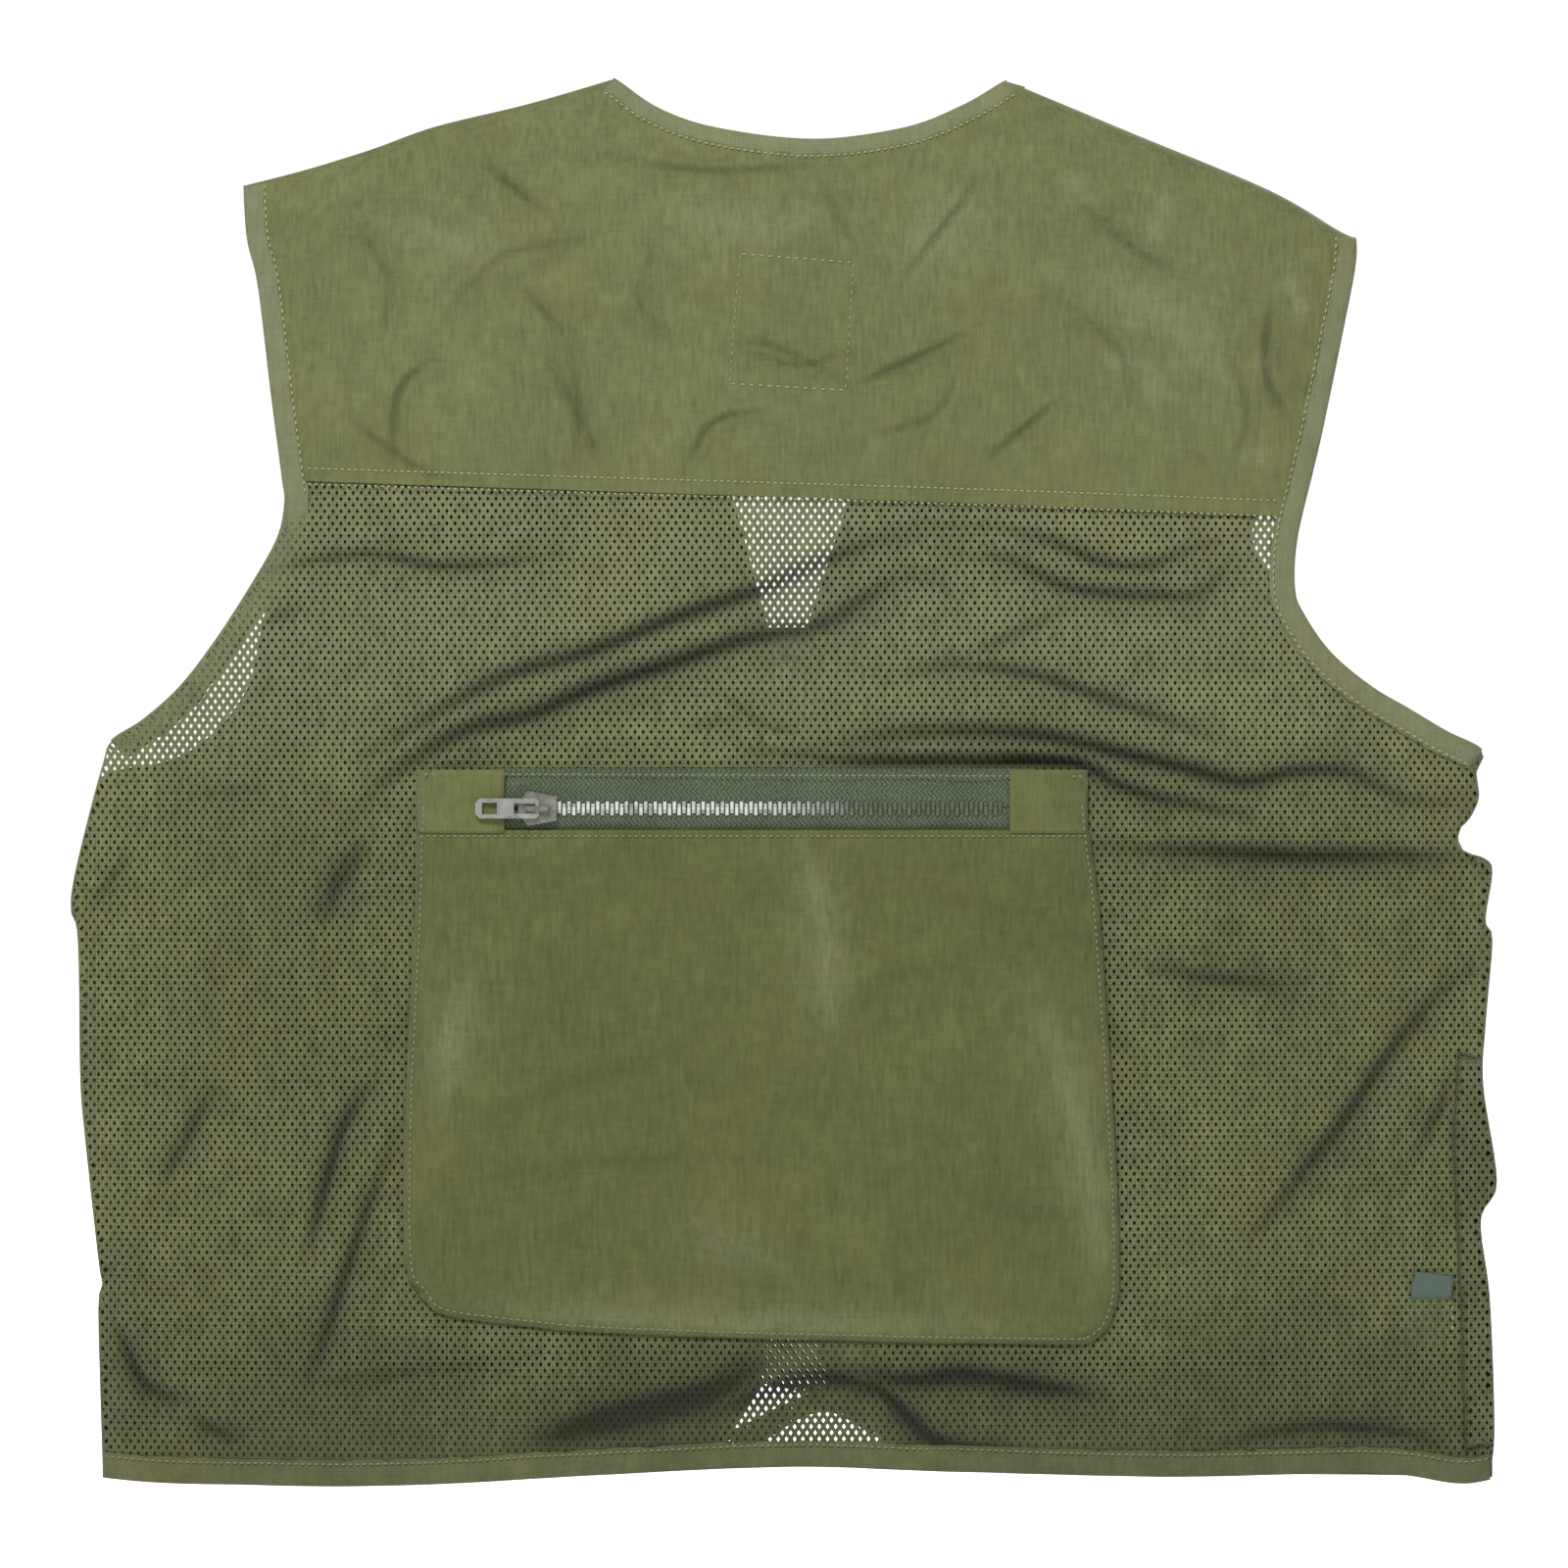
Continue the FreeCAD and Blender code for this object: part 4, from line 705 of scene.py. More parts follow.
front_folds = [
    (3.0, 4.0, [(-300, -345), (-285, -380), (-290, -430)]),
    (2.6, 4.0, [(-60, -360), (-52, -420), (-58, -500)]),
    (2.4, 3.5, [(-210, -225), (-216, -270), (-240, -310), (-280, -330)]),
    (2.4, 3.5, [(200, -225), (212, -265), (240, -305), (285, -330)]),
    (2.8, 4.0, [(50, -360), (46, -420), (52, -500)]), (2.8, 4.0, [(298, -352), (289, -400), (294, -450)]),
    (2.4, 4.0, [(-280, -575), (-200, -568), (-120, -572), (-60, -560)]),
    (2.4, 4.0, [(280, -578), (210, -570), (130, -572), (70, -562)]),
    (2.2, 3.5, [(-180, -312), (-120, -320), (-60, -322)]), (2.2, 3.5, [(180, -312), (120, -321), (55, -322)]),
]
pocket_places = [(np.array(low, float), np.array(high, float)) for low, high in (
    ((-197, -300), (-54, -178)), ((47, -300), (188, -178)), ((-287, -556), (-73, -338)),
    ((63, -556), (277, -338)))]

front_arm_left = smooth_line([
    (-245, -47), (-243, -71), (-238, -92), (-232, -140), (-227, -178), (-228, -205), (-237, -238),
    (-246, -273), (-272, -299), (-306, -307)])
front_arm_right = smooth_line([
    (246, -70), (244, -84), (236, -114), (222, -150), (207, -178), (201, -200), (206, -215), (217, -232),
    (240, -260), (270, -284), (303, -300)])
vee_left = smooth_line([(-82, 0), (-62, -72), (-38, -155), (-14, -243)])
vee_right = smooth_line([(92, -1), (72, -72), (34, -155), (4, -243)])
zip_edge_left = smooth_line([(-14, -243), (-14, -400), (-14, -550)])
zip_edge_right = smooth_line([(4, -243), (4, -400), (4, -534)])
cutaway_left_edge = smooth_line([(-14, -550), (-19, -582), (-42, -617)])
cutaway_right_edge = smooth_line([(4, -534), (16, -580), (58, -617)])
front_hem_left = smooth_line([(-308, -617), (-200, -618), (-42, -617)])
front_hem_right = smooth_line([(58, -617), (180, -618), (307, -618)])
left_armhole, right_armhole = between(left_edge, -293, -47), between(right_edge, -297, -70)


def turned_in_face(cloth, inward=0.0):
    """The left armhole's tape is turned to the inside below the yoke."""
    depth, shade = back_face(cloth, inward)
    return depth + 2.7 * eased(-cloth[:, 1], 184, 200), shade


for node, parts, width, tape, slot, seed in (
    ("back_neck_binding", [(back_neck[::-1], back_face)], 9, binding_tape, "binding_tape", 1),
    ("left_neck_binding", [(vee_left[::-1], front_face)], 9, binding_tape, "binding_tape", 2),
    ("right_neck_binding", [(vee_right, front_face)], 9, binding_tape, "binding_tape", 3),
    ("left_armhole_binding", [(left_armhole, turned_in_face), (front_arm_left, front_face)], 11, binding_tape,
     "binding_tape", 4),
    ("right_armhole_binding", [(right_armhole[::-1], back_face), (front_arm_right[::-1], front_face)], 11,
     binding_tape, "binding_tape", 5),
    ("back_hem_binding", [(back_hem, back_face)], 11.5, hem_tape, "hem_tape", 6),
    ("left_front_hem_binding", [(np.vstack([front_hem_left, cutaway_left_edge[::-1][1:]]), front_face)], 11.5,
     hem_tape, "hem_tape", 7),
    ("right_front_hem_binding", [(np.vstack([cutaway_right_edge, front_hem_right[1:]]), front_face)], 11.5,
     hem_tape, "hem_tape", 8),
):
    bm = bmesh.new()
    for path, face in parts:
        bound(bm, path, width, face, seed)
    finish_mesh(node.capitalize(), bm, tape, stands_for=[node])

stitched("Neck_binding_stitches", [(beside(back_neck[::-1], 7.2), inside_back(-0.45), 2.9)], olive_thread)
above_yoke_seam = left_armhole[left_armhole[:, 1] > -186]
stitched("Armhole_binding_stitches", [(beside(above_yoke_seam, 8.8), inside_back(-0.5), 3.2),
                                      (beside(right_armhole[::-1], 8.8), inside_back(-0.5), 3.2)],
         olive_thread)
stitched("Hem_stitches", [(beside(back_hem, 9.2), inside_back(-0.45), 3.0)], dull_thread)


# ------------------------------------------------------------------ back pocket
# A wide bag of woven poly-cotton sewn flat on the mesh, its mouth closed by a zip that is set
# between two folded end squares. It is rubbed pale where things were carried in it.

pocket_cloth = cloth_material("Olive poly-cotton pocket cloth", "#525a30", "#707848", 0.62, fade=0.07,
                              slub=1.1, crease_shade_colour="#3b4026", wear_and_light_colour="#a2a67f")
square_cloth = cloth_material("Doubled olive poly-cotton", "#5e653a", "#787f4e", 0.62, fade=0.08, slub=1.1)
pocket_folds = [
    (1.9, 3.4, [(-54, -497), (-41, -512), (-15, -525)]),
    (1.1, 4.0, [(-144, -464), (-110, -449), (-58, -432)]),
    (1.3, 4.0, [(-164, -495), (-118, -482), (-24, -477)]), (1.0, 4.0, [(-165, -350), (-105, -350)]),
    (1.1, 4.0, [(36, -359), (71, -363), (127, -378)]), (1.3, 4.0, [(19, -415), (41, -398), (71, -396)]),
    (1.0, 5.0, [(-60, -350), (-30, -380), (-40, -420)]), (1.0, 5.0, [(60, -480), (90, -500), (130, -505)]),
]
pocket_wear = [
    (4, 4.5, [(0, -337), (9, -365), (13, -400), (15, -424)]),
    (4, 5, [(-144, -393), (-152, -420), (-157, -454)]),
    (4, 6, [(105, -402), (118, -440), (128, -490), (135, -535)]),
    (4, 4, [(-54, -500), (-34, -514), (-10, -523)]),
    (4, 5, [(-150, -540), (-90, -546), (0, -549), (110, -551)]),
]


def pocket_face(cloth, inward=0.0):
    """Y of the pocket's outer face: it rises from its sewn edges to a flat front."""
    across, up = cloth[:, 0], cloth[:, 1]
    under = back_mesh_face(cloth, 1.6)[0]
    from_edge = np.minimum(across - at_height(pocket_left, up), at_height(pocket_right, up) - across)
    from_edge = np.minimum(from_edge, up - at_width(pocket_bottom, across))
    lift = 1 - (1 - np.clip(from_edge / 22, 0, 1)) ** 2
    height, shade = folded(cloth, pocket_folds)
    flat = -28.2 - 2.8 * eased(up, -372, -338) - height - rumpled(cloth, 48, 21) * 0.6
    flat -= rumpled(cloth, 17, 22) * 0.2
    sewn = under - 1.7
    depth = np.minimum(sewn + (flat - sewn) * lift, under - 1.2)
    return depth + inward, shade * 0.9


band_line = -332.0
left_side = np.vstack([[(-168, band_line)], between(pocket_left, -536, band_line)])[::-1]
right_side = np.vstack([between(pocket_right, -551, band_line), [(128, band_line)]])
mouth = evenly(np.array([(-168, band_line), (128, band_line)], float), 3)
pocket_edges = (left_side, right_side, pocket_bottom, mouth)
back_pocket = panel("Back_pocket_panel", pocket_edges, (150, 110), pocket_face, pocket_cloth,
                    "back_pocket_panel", 1.1, pocket_wear)


def square_face(cloth, inward=0.0):
    """The end squares lie half a millimetre proud of the bag."""
    return pocket_face(cloth, -0.5)


for node, left, right, width in (("back_pocket_left_patch", -167.7, -129, 0.04),
                                 ("back_pocket_right_patch", 92.5, 127, 0.036)):
    square = panel(node.capitalize(), block(left, -333.5, right, -305.5), (20, 14), square_face, square_cloth,
                   node, 1.3)

def on_bag(cloth):
    """The top of stitches sewn into the bag."""
    return pocket_face(cloth, -0.2)


stitched("Pocket_stitches", [
    (straight((-165, -307.4), (125, -308.4)), inside_back(-4.6), 2.9),
    (straight((-164, -334.6), (125, -334.6)), on_bag, 2.9),
    (beside(pocket_outline[::-1], -2.6)[::-1][8:-8], on_bag, 3.1)],
    dull_thread)


# ------------------------------------------------------------------ back zip
# A moulded plastic zip on herringbone polyester tape with a worn nickel-plated slider and
# puller. Its teeth are coloured silvery in patches over the left half and stay olive to the right.

def tape_material(name, along_side, across_side):
    """Herringbone zip tape: twill ribs 2.2 mm apart that turn back every 3 mm across the tape.
    The sides are the numbers of the axes that run along it and across it."""
    rib_spacing, band = 0.0022, 0.003
    mat, where = new_material(name, {"Roughness": 0.85, "Sheen Weight": 0.25})
    parts = add(mat, "ShaderNodeSeparateXYZ", {0: where})
    along, across = parts.outputs[along_side], parts.outputs[across_side]
    zigzag = add(mat, "ShaderNodeMath", {0: across, 1: band}, operation="PINGPONG").outputs[0]
    ribs = add(mat, "ShaderNodeMath", {0: along, 1: zigzag}, operation="ADD").outputs[0]
    turns = add(mat, "ShaderNodeMath", {0: ribs, 1: 6.283 / rib_spacing}, operation="MULTIPLY").outputs[0]
    twill = add(mat, "ShaderNodeMath", {0: turns}, operation="SINE").outputs[0]
    fuzz = add(mat, "ShaderNodeTexNoise", {"Vector": where, "Scale": 900.0, "Detail": 3.0}).outputs["Fac"]
    mixed = add(mat, "ShaderNodeMath", {0: twill, 1: 0.3, 2: fuzz}, operation="MULTIPLY_ADD").outputs[0]
    patches = add(mat, "ShaderNodeTexNoise", {"Vector": where, "Scale": 38.0, "Detail": 2.0}).outputs["Fac"]
    base = blended(mat, mixed, linear("#2b3623"), linear("#69775d"))
    tone = add(mat, "ShaderNodeMapRange", {"Value": patches, "From Min": 0.3, "From Max": 0.7, "To Min": 0.85,
                                           "To Max": 1.12}).outputs[0]
    toned = add(mat, "ShaderNodeVectorMath", {0: base, "Scale": tone}, operation="SCALE").outputs[0]
    return surfaced(mat, toned, mixed, 0.4, 0.0004)


back_tape = tape_material("Herringbone polyester zip tape", 0, 2)
front_tape = tape_material("Herringbone polyester zip tape, upright", 2, 0)
zip_folds = [(0.7, 2.4, [(-20, -304), (-13, -314), (-3, -322), (0, -338)]),
             (0.4, 3.0, [(40, -306), (50, -320), (46, -336)]), (0.4, 3.0, [(-80, -306), (-74, -320)])]


def tape_face(cloth, inward=0.0):
    """The tape leaves the mesh at its sewn edge and flattens out towards the teeth."""
    sewn = back_mesh_face(cloth, 1.6)[0] - 2.2
    height, shade = folded(cloth, zip_folds)
    flatten = eased(-cloth[:, 1], 305, 312)
    tucked = 1.5 * eased(-cloth[:, 1], 328, 333)
    return np.minimum(sewn + (-29.7 - height * 0.6 - sewn) * flatten, -26.5) + tucked, shade


for node, low, top in (("back_zip_upper_tape", -322.5, -305.0), ("back_zip_lower_tape", -338, -322.5)):
    strip = panel(node.capitalize(), block(-136, low, 104, top), (130, 10), tape_face, back_tape,
                  node, 0.8)


def tooth_material(name, dark, light, silvery_colour, start, end):
    """Moulded acetal: smooth and a little glossy. It is coloured silvery in patches to the left of start,
    fading out by end. Painted shade darkens the gaps, which fall
    where the teeth of the back zip meet."""
    first_tooth, half_tooth = -0.106, 0.00105
    mat, where = new_material(name, {"Roughness": 0.32})
    along = add(mat, "ShaderNodeSeparateXYZ", {0: where}).outputs[0]
    share = add(mat, "ShaderNodeMapRange", {"Value": along, "From Min": start, "From Max": end, "To Min": 1.0,
                                            "To Max": 0.0}, interpolation_type="SMOOTHSTEP").outputs[0]
    spots = add(mat, "ShaderNodeTexNoise", {"Vector": where, "Scale": 150.0, "Detail": 2.0}).outputs["Fac"]
    marks = add(mat, "ShaderNodeMapRange", {"Value": spots, "From Min": 0.3, "From Max": 0.42, "To Min": 0.45}
                ).outputs[0]
    silvery_share = add(mat, "ShaderNodeMath", {0: share, 1: marks}, operation="MULTIPLY").outputs[0]
    base = blended(mat, spots, linear(dark), linear(light))
    # Painted shade: dark lines in the gaps where the teeth meet.
    from_first = add(mat, "ShaderNodeMath", {0: along, 1: -first_tooth}, operation="ADD").outputs[0]
    to_gap = add(mat, "ShaderNodeMath", {0: from_first, 1: half_tooth}, operation="PINGPONG").outputs[0]
    clear = add(mat, "ShaderNodeMapRange", {"Value": to_gap, "From Min": 0.00012,
                                            "From Max": 0.0006}).outputs[0]
    before_gap_shade = blended(mat, silvery_share, base, linear(silvery_colour))
    return surfaced(mat, blended(mat, clear, linear("#3a4030"), before_gap_shade), spots, 0.15, 0.0002)


def nickel_material(name, dark, light, grime):
    """Nickel-plated zinc casting: bright where it is rubbed, grey and pitted elsewhere."""
    mat, where = new_material(name, {"Metallic": 0.75})
    clouds = add(mat, "ShaderNodeTexNoise", {"Vector": where, "Scale": 220.0, "Detail": 5.0}).outputs["Fac"]
    pits = add(mat, "ShaderNodeTexNoise", {"Vector": where, "Scale": 1400.0, "Detail": 2.0}).outputs["Fac"]
    base = blended(mat, clouds, linear(dark), linear(light))
    spotted = add(mat, "ShaderNodeMapRange", {"Value": pits, "From Min": 0.55, "From Max": 0.75}).outputs[0]
    rough = add(mat, "ShaderNodeMapRange", {"Value": clouds, "To Min": 0.28, "To Max": 0.55}).outputs[0]
    mat.node_tree.links.new(rough, mat.node_tree.nodes["Principled BSDF"].inputs["Roughness"])
    return surfaced(mat, blended(mat, spotted, base, linear(grime)), pits, 0.25, 0.0002)


def dress(nodes, material):
    """Gives CAD nodes, whose shapes stay, their finished material."""
    for name in nodes:
        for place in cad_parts[name].material_slots:
            place.material = material


patchy_silvery_teeth = tooth_material("Olive acetal teeth, silvery in patches", "#4d5443", "#6f7764", "#dfe4dc", -0.03, 0.035)
plain_teeth = tooth_material("Olive acetal teeth", "#4d5443", "#6f7764", "#c5cabf", -0.6, -0.5)
slider_nickel = nickel_material("Worn nickel-plated slider", "#6d6e62", "#b4b4a8", "#4a4a40")
puller_nickel = nickel_material("Rubbed nickel-plated puller", "#9a9c96", "#c9cac4", "#66665e")
dull_metal = nickel_material("Dull crimped stop metal", "#6c6e66", "#989a90", "#45463e")
dress(["back_zip_upper_teeth", "back_zip_lower_teeth"], patchy_silvery_teeth)
dress(["back_zip_slider", "front_zip_slider"], slider_nickel)
dress(["back_zip_puller", "front_zip_puller"], puller_nickel)
dress(["back_zip_upper_stop", "back_zip_lower_stop", "back_zip_end_stop", "front_zip_left_stop",
       "front_zip_right_stop", "front_zip_pin"], dull_metal)
dress(["front_zip_left_teeth", "front_zip_right_teeth", "front_zip_box"], plain_teeth)


# ------------------------------------------------------------------ front panels
# Each front is mesh below a woven yoke, with its raw edges bound, and closes on a full zip
# between two folded woven plackets. The lower corners curve away from the zip.

def inside_front(inward):
    """The face of a layer that lies inward of the front's woven face."""
    return lambda cloth: front_face(cloth, inward)


front_seam_left = smooth_line([(-230, -165), (-130, -166), (-36, -165)])
front_seam_right = smooth_line([(31, -165), (120, -166), (214, -165)])
pocket_covers = [np.array([(low[0] + 9, low[1] + 9), (high[0] - 9, low[1] + 9), (high[0] - 9, high[1] - 16),
                           (low[0] + 9, high[1] - 16)]) for low, high in pocket_places]
left_mesh_outline = outline_of(
    front_seam_left[::-1] + (0, 8), between(front_arm_left, -307, -165), between(left_edge, -617, -308),
    front_hem_left[1:], cutaway_left_edge[::-1], zip_edge_left[::-1], between(vee_left, -243, -158)[::-1])
right_mesh_outline = outline_of(
    front_seam_right[::-1] + (0, 8), between(vee_right, -243, -158), zip_edge_right, cutaway_right_edge,
    front_hem_right, between(right_edge, -617, -300)[::-1], between(front_arm_right, -300, -165)[::-1])
# A closed dark sheet lies inward of each front's mesh: painted shade that stands in for the dark inside of
# the vest seen through the holes.
shade_sheet_cloth = cloth_material("Dark olive sheet of painted shade", "#3b402a", "#545a3c", 0.9, fade=0.08)
for half, outline in (("left", left_mesh_outline), ("right", right_mesh_outline)):
    front_mesh = netting(f"{half.capitalize()}_front_mesh_panel", outline, front_face, 1.6,
                         f"{half}_front_mesh_panel", pocket_covers)
    shade_sheet = netting(f"{half.capitalize()}_front_shade_sheet", outline, front_face, 3.6, None, [outline],
                     shade_sheet_cloth)

for half, edges in (
    ("left", (between(front_arm_left, -165, -40)[::-1], between(vee_left, -165, 1)[::-1], front_seam_left,
              shoulder_line)),
    ("right", (between(vee_right, -165, 1)[::-1], between(front_arm_right, -165, -60)[::-1], front_seam_right,
               shoulder_right)),
):
    front_yoke = panel(f"{half.capitalize()}_front_yoke", edges, (90, 80), front_face, woven,
                       f"{half}_front_yoke")

for half, near, far, low in (("left", -38, -14, -550), ("right", 4, 28, -534)):
    placket = panel(f"{half.capitalize()}_placket", block(near, low, far, -243), (12, 120),
                    inside_front(-0.9), woven, f"{half}_placket", 1.3)
placket_rows = [straight((across, -250), (across, low)) for across, low in (
    (-16.5, -545), (6.5, -530), (-35.5, -545), (25.5, -530))]
neck_rows = [beside(vee_left[::-1], 7.2), beside(vee_right, 7.2)]
stitched("Front_stitches", (
    [(seam + (0, 1.7), front_face, 3.4) for seam in (front_seam_left, front_seam_right)]
    + [(placket_row, inside_front(-1.3), 3.4) for placket_row in placket_rows]
    + [(neck_row, inside_front(-0.45), 3.4) for neck_row in neck_rows]),
    olive_thread)


def front_tape_face(cloth, inward=0.0):
    """The tapes lie flat, between the plackets and the body."""
    return 23.1 + rumpled(cloth, 40, 31) * 0.2, np.zeros(len(cloth))


for half, near, far in (("left", -20.5, -5), ("right", -5, 10.5)):
    strip = panel(f"Front_zip_{half}_tape", block(near, -532, far, -242), (10, 130), front_tape_face,
                  front_tape, f"front_zip_{half}_tape", 0.8)


# ------------------------------------------------------------------ side and shoulder seams
# The seam allowances inside the vest, taped together where back and front meet.

seam_tape = cloth_material("Olive cotton seam tape", "#5c6240", "#747a55", 0.9)
from_edge, tape_across = 2.0, 8.0
for node, edge, inward in (
    ("left_side_seam_tape", between(left_edge, -612, -312), (1, 0)),
    ("right_side_seam_tape", between(right_edge, -612, -312), (-1, 0)),
    ("left_shoulder_tape", shoulder_line[3:-4], (0, -1)),
    ("right_shoulder_tape", shoulder_right[2:-3], (0, -1)),
):
    bm = bmesh.new()
    path = evenly(edge, 4)
    bmesh.ops.create_grid(bm, x_segments=len(path) - 1, y_segments=4, size=0.5)
    points = points_of(bm)
    i = np.rint((points[:, 0] + 0.5) * (len(path) - 1)).astype(int)
    cloth = path[i] + np.array(inward) * (from_edge + tape_across * (points[:, 1:2] + 0.5))
    set_points(bm, np.c_[cloth[:, 0], rumpled(cloth, 30, 41) * 0.25, cloth[:, 1]] / 1000)
    bmesh.ops.solidify(bm, geom=bm.faces[:], thickness=0.0008)
    bmesh.ops.recalc_face_normals(bm, faces=bm.faces)
    finish_mesh(node.capitalize(), bm, seam_tape, stands_for=[node])


# ------------------------------------------------------------------ front pockets
# Four bellows pockets of woven poly-cotton, two at the chest and two below, each under a flap
# that is sewn on above the mouth and held down by a strip of hook-and-loop.

front_cloth = cloth_material("Olive poly-cotton for bellows pockets", "#62693f", "#7b8255", 0.8, fade=0.09,
                             crease_shade_colour="#3d4228")


def pile_material(name, dark, light, grain):
    """Hook-and-loop tape: a mat of nylon ends, so rough and without a highlight."""
    mat, where = new_material(name, {"Roughness": 0.95})
    ends = add(mat, "ShaderNodeTexVoronoi", {"Vector": where, "Scale": grain}).outputs["Distance"]
    return surfaced(mat, blended(mat, ends, linear(dark), linear(light)), ends, 0.8, 0.0006)


loop_pile = pile_material("Olive nylon loop tape", "#414730", "#666c4b", 900.0)
hook_pile = pile_material("Olive nylon hook tape", "#3b4029", "#5d6344", 700.0)


def barrel(x):
    """How far the front falls back from its middle plane, x across from it."""
    return -(x**2) / (2 * barrel_radius)


def pocket_frame(centre, mouth):
    """A pocket's own frame on the mesh, with Y outward and Z up from its mouth."""
    mesh_depth = 24.5
    place = Matrix.Translation((centre, mesh_depth + barrel(centre), mouth))
    return place @ Matrix.Rotation(-math.asin(centre / barrel_radius), 4, "Z")


def on_front(bm, points, centre, mouth):
    """Gives a bmesh points that are written in a pocket's own frame, its faces outward."""
    set_points(bm, points)
    place = Matrix.Scale(0.001, 4) @ pocket_frame(centre, mouth)
    bmesh.ops.transform(bm, matrix=place, verts=bm.verts)
    bmesh.ops.recalc_face_normals(bm, faces=bm.faces)
    if sum(f.normal.y for f in bm.faces) < 0:
        bmesh.ops.reverse_faces(bm, faces=bm.faces)


def thickened(piece, thick):
    """Gives a sheet its thickness in millimetres, on its inner side."""
    layers = piece.modifiers.new("Cloth thickness", "SOLIDIFY")
    layers.thickness, layers.offset = thick / 1000, -1


clearance, corner = 0.35, 14.0
for half, kind, centre, mouth, width, height, deep, flap, seed in (
    ("left", "chest", -125, -188, 140, 110, 8, 46, 51), ("right", "chest", 115, -188, 140, 110, 8, 46, 52),
    ("left", "lower", -180, -354, 210, 200, 14, 64, 53), ("right", "lower", 170, -354, 210, 200, 14, 64, 54),
):
    name, node = f"{half.capitalize()}_{kind}", f"{half}_{kind}"
    flap_body = f"{half}_{kind}_flap"

    bm = bmesh.new()
    bmesh.ops.create_grid(bm, x_segments=70, y_segments=60, size=1)
    points = points_of(bm)
    u, v = np.sin(points[:, 0] * np.pi / 2), np.sin((0.5 - points[:, 1] / 2) * np.pi / 2)
    full = (1 - np.abs(u) ** 7) ** 0.5 * (1 - v**9) ** 0.5
    x, z = u * width / 2, -v * height
    below_flap = eased(-z, flap, flap + 26)
    soft = rumpled(np.c_[x, z], 48, seed) * 0.9 + rumpled(np.c_[x, z], 19, seed + 9) * 0.25
    slack = below_flap * (1.8 * np.sin(np.pi * np.clip(v, 0, 1)) + soft) - 0.5 * (1 - below_flap)
    y = barrel(x) + clearance + (deep - clearance + slack) * full
    on_front(bm, np.c_[x, y, z], centre, mouth)
    bag = finish_mesh(f"{name}_pocket", bm, front_cloth, stands_for=[f"{node}_pocket"])
    thickened(bag, 1.1)

    bm = bmesh.new()
    half_wide = width / 2 + 3
    profile = smooth_line([(1.2, 16), (1.2, 11.5), (2.0, 9.6), (4.2, 8.4), (deep - 1, 7.3), (deep + 1.6, 5.0),
                           (deep + 2.7, 1.2), (deep + 2.9, -4), (deep + 2.9, -flap)], 1.5)
    rows = evenly(profile, 1.6)
    bmesh.ops.create_grid(bm, x_segments=64, y_segments=len(rows) - 1, size=1)
    points = points_of(bm)
    k = np.rint((0.5 - points[:, 1] / 2) * (len(rows) - 1)).astype(int)
    x = np.sin(points[:, 0] * np.pi / 2) * half_wide
    y, z = rows[k, 0], rows[k, 1]
    into_corner = np.clip(np.abs(x) - (half_wide - corner), 0, corner)
    lowest = corner - flap - np.sqrt(corner**2 - into_corner**2)
    z = np.where(z < 0, z * lowest / -flap, z)
    hang = eased(-z, 0, flap)
    y = y + barrel(x) + hang * (0.5 + 0.5 * rumpled(np.c_[x, z], 45, seed + 20))
    on_front(bm, np.c_[x, y, z], centre, mouth)
    cover = finish_mesh(f"{name}_flap", bm, front_cloth, body=None,
                        stands_for=[f"{node}_flap"])
    thickened(cover, 1.2)
    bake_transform(cover)

    for strip, rides, low, material in (("loop_strip", "vest", deep, loop_pile),
                                        ("hook_strip", flap_body, deep + 0.95, hook_pile)):
        bm = bmesh.new()
        bmesh.ops.create_grid(bm, x_segments=20, y_segments=8, size=0.5)
        points = points_of(bm)
        x, z = points[:, 0] * width * 0.4, 14 - flap + points[:, 1] * 18
        on_front(bm, np.c_[x, low + barrel(x) + clearance, z], centre, mouth)
        bmesh.ops.solidify(bm, geom=bm.faces[:], thickness=0.0006)
        bmesh.ops.recalc_face_normals(bm, faces=bm.faces)
        finish_mesh(f"{name}_{strip}", bm, material, rides,
                    [f"{node}_{strip}"])


# ------------------------------------------------------------------ floor, light and camera
# A plain pale floor below the hem, a bright even surround and two large soft lights.

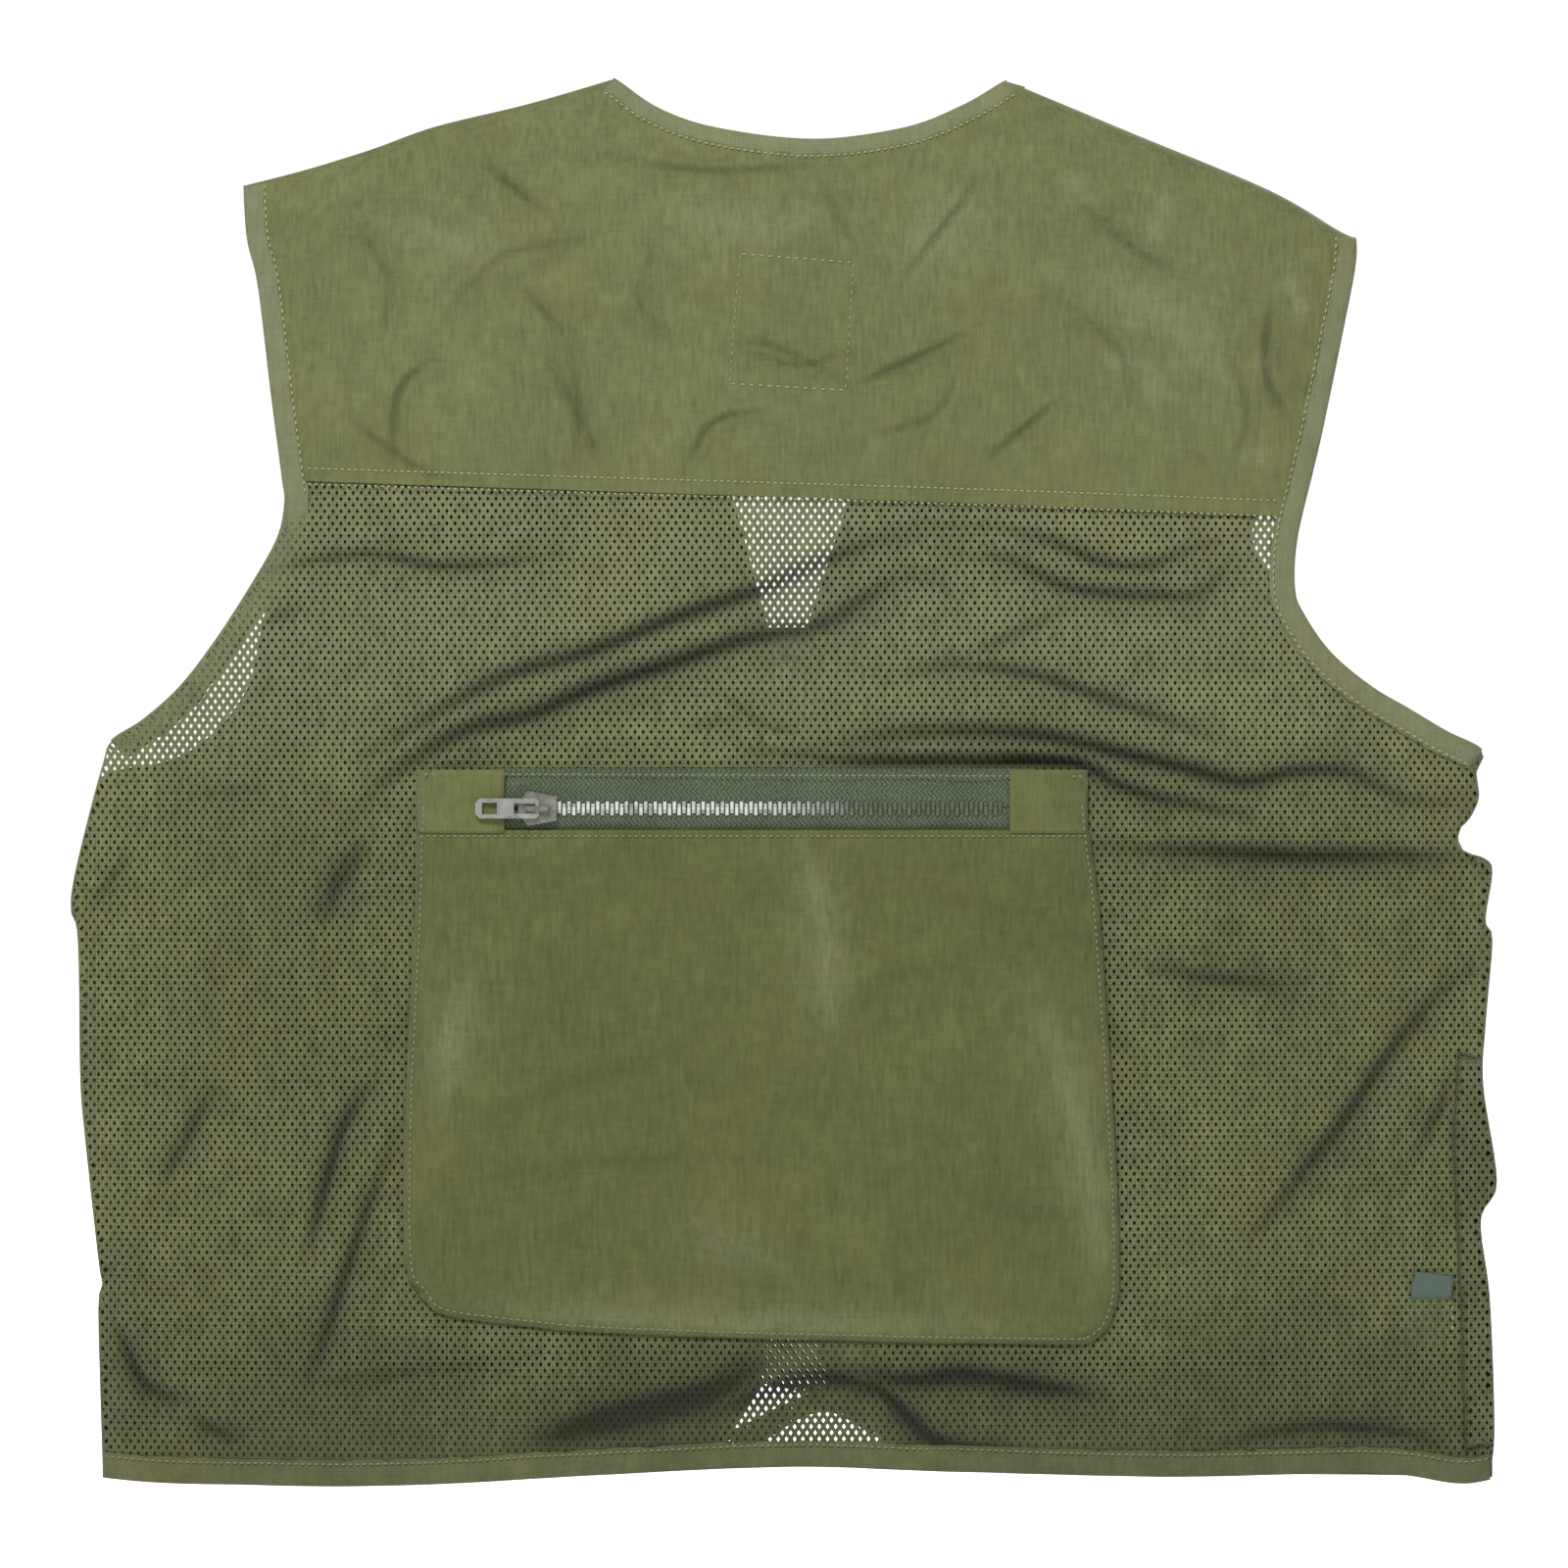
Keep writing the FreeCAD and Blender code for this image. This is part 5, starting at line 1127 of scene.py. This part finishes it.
bm = bmesh.new()
bmesh.ops.create_circle(bm, cap_ends=True, segments=64, radius=12.0)
bmesh.ops.translate(bm, vec=(0, 0, -0.68), verts=bm.verts)
paper = new_material("White studio paper", {"Base Color": (0.9, 0.9, 0.9, 1), "Roughness": 1.0,
                                            "Emission Color": (1, 1, 1, 1)})[0]
looked_at = add(paper, "ShaderNodeLightPath").outputs["Is Camera Ray"]
glow = add(paper, "ShaderNodeMapRange", {"Value": looked_at, "To Min": 0.1, "To Max": 1.0}).outputs[0]
paper.node_tree.links.new(glow, paper.node_tree.nodes["Principled BSDF"].inputs["Emission Strength"])
floor = finish_mesh("Studio_floor", bm, paper, body=None)

world = bpy.data.worlds.new("Pale surround")
bpy.context.scene.world = world
world.use_nodes = True
sky = world.node_tree.nodes["Background"]
sky.inputs["Color"].default_value = (1, 1, 1, 1)
seen = world.node_tree.nodes.new("ShaderNodeLightPath")
bright = world.node_tree.nodes.new("ShaderNodeMapRange")
bright.inputs["To Min"].default_value = 0.29
bright.inputs["To Max"].default_value = 1.0
world.node_tree.links.new(seen.outputs["Is Camera Ray"], bright.inputs["Value"])
world.node_tree.links.new(bright.outputs[0], sky.inputs["Strength"])

for name, spot, aim, size, power in (
    ("Key_light", (-0.55, -2.0, 1.5), (0.02, 0, -0.3), 0.7, 47),
    ("Front_light", (1.4, 2.0, 1.1), (0, 0, -0.3), 1.0, 46),
):
    lamp = bpy.data.lights.new(name, "AREA")
    lamp.size, lamp.energy = size, power
    light = bpy.data.objects.new(name, lamp)
    bpy.context.collection.objects.link(light)
    light.location = spot
    light.rotation_euler = (Vector(aim) - Vector(spot)).to_track_quat("-Z", "Y").to_euler()

lens = bpy.data.cameras.new("Camera")
lens.lens, lens.sensor_width = 166.0, 36.0
camera = bpy.data.objects.new("Camera", lens)
bpy.context.collection.objects.link(camera)
camera.location = (-0.0065, -3.2, -0.3118)
camera.rotation_euler = (math.pi / 2, 0, 0)
bpy.context.scene.camera = camera
bpy.context.scene.view_settings.view_transform = "Standard"
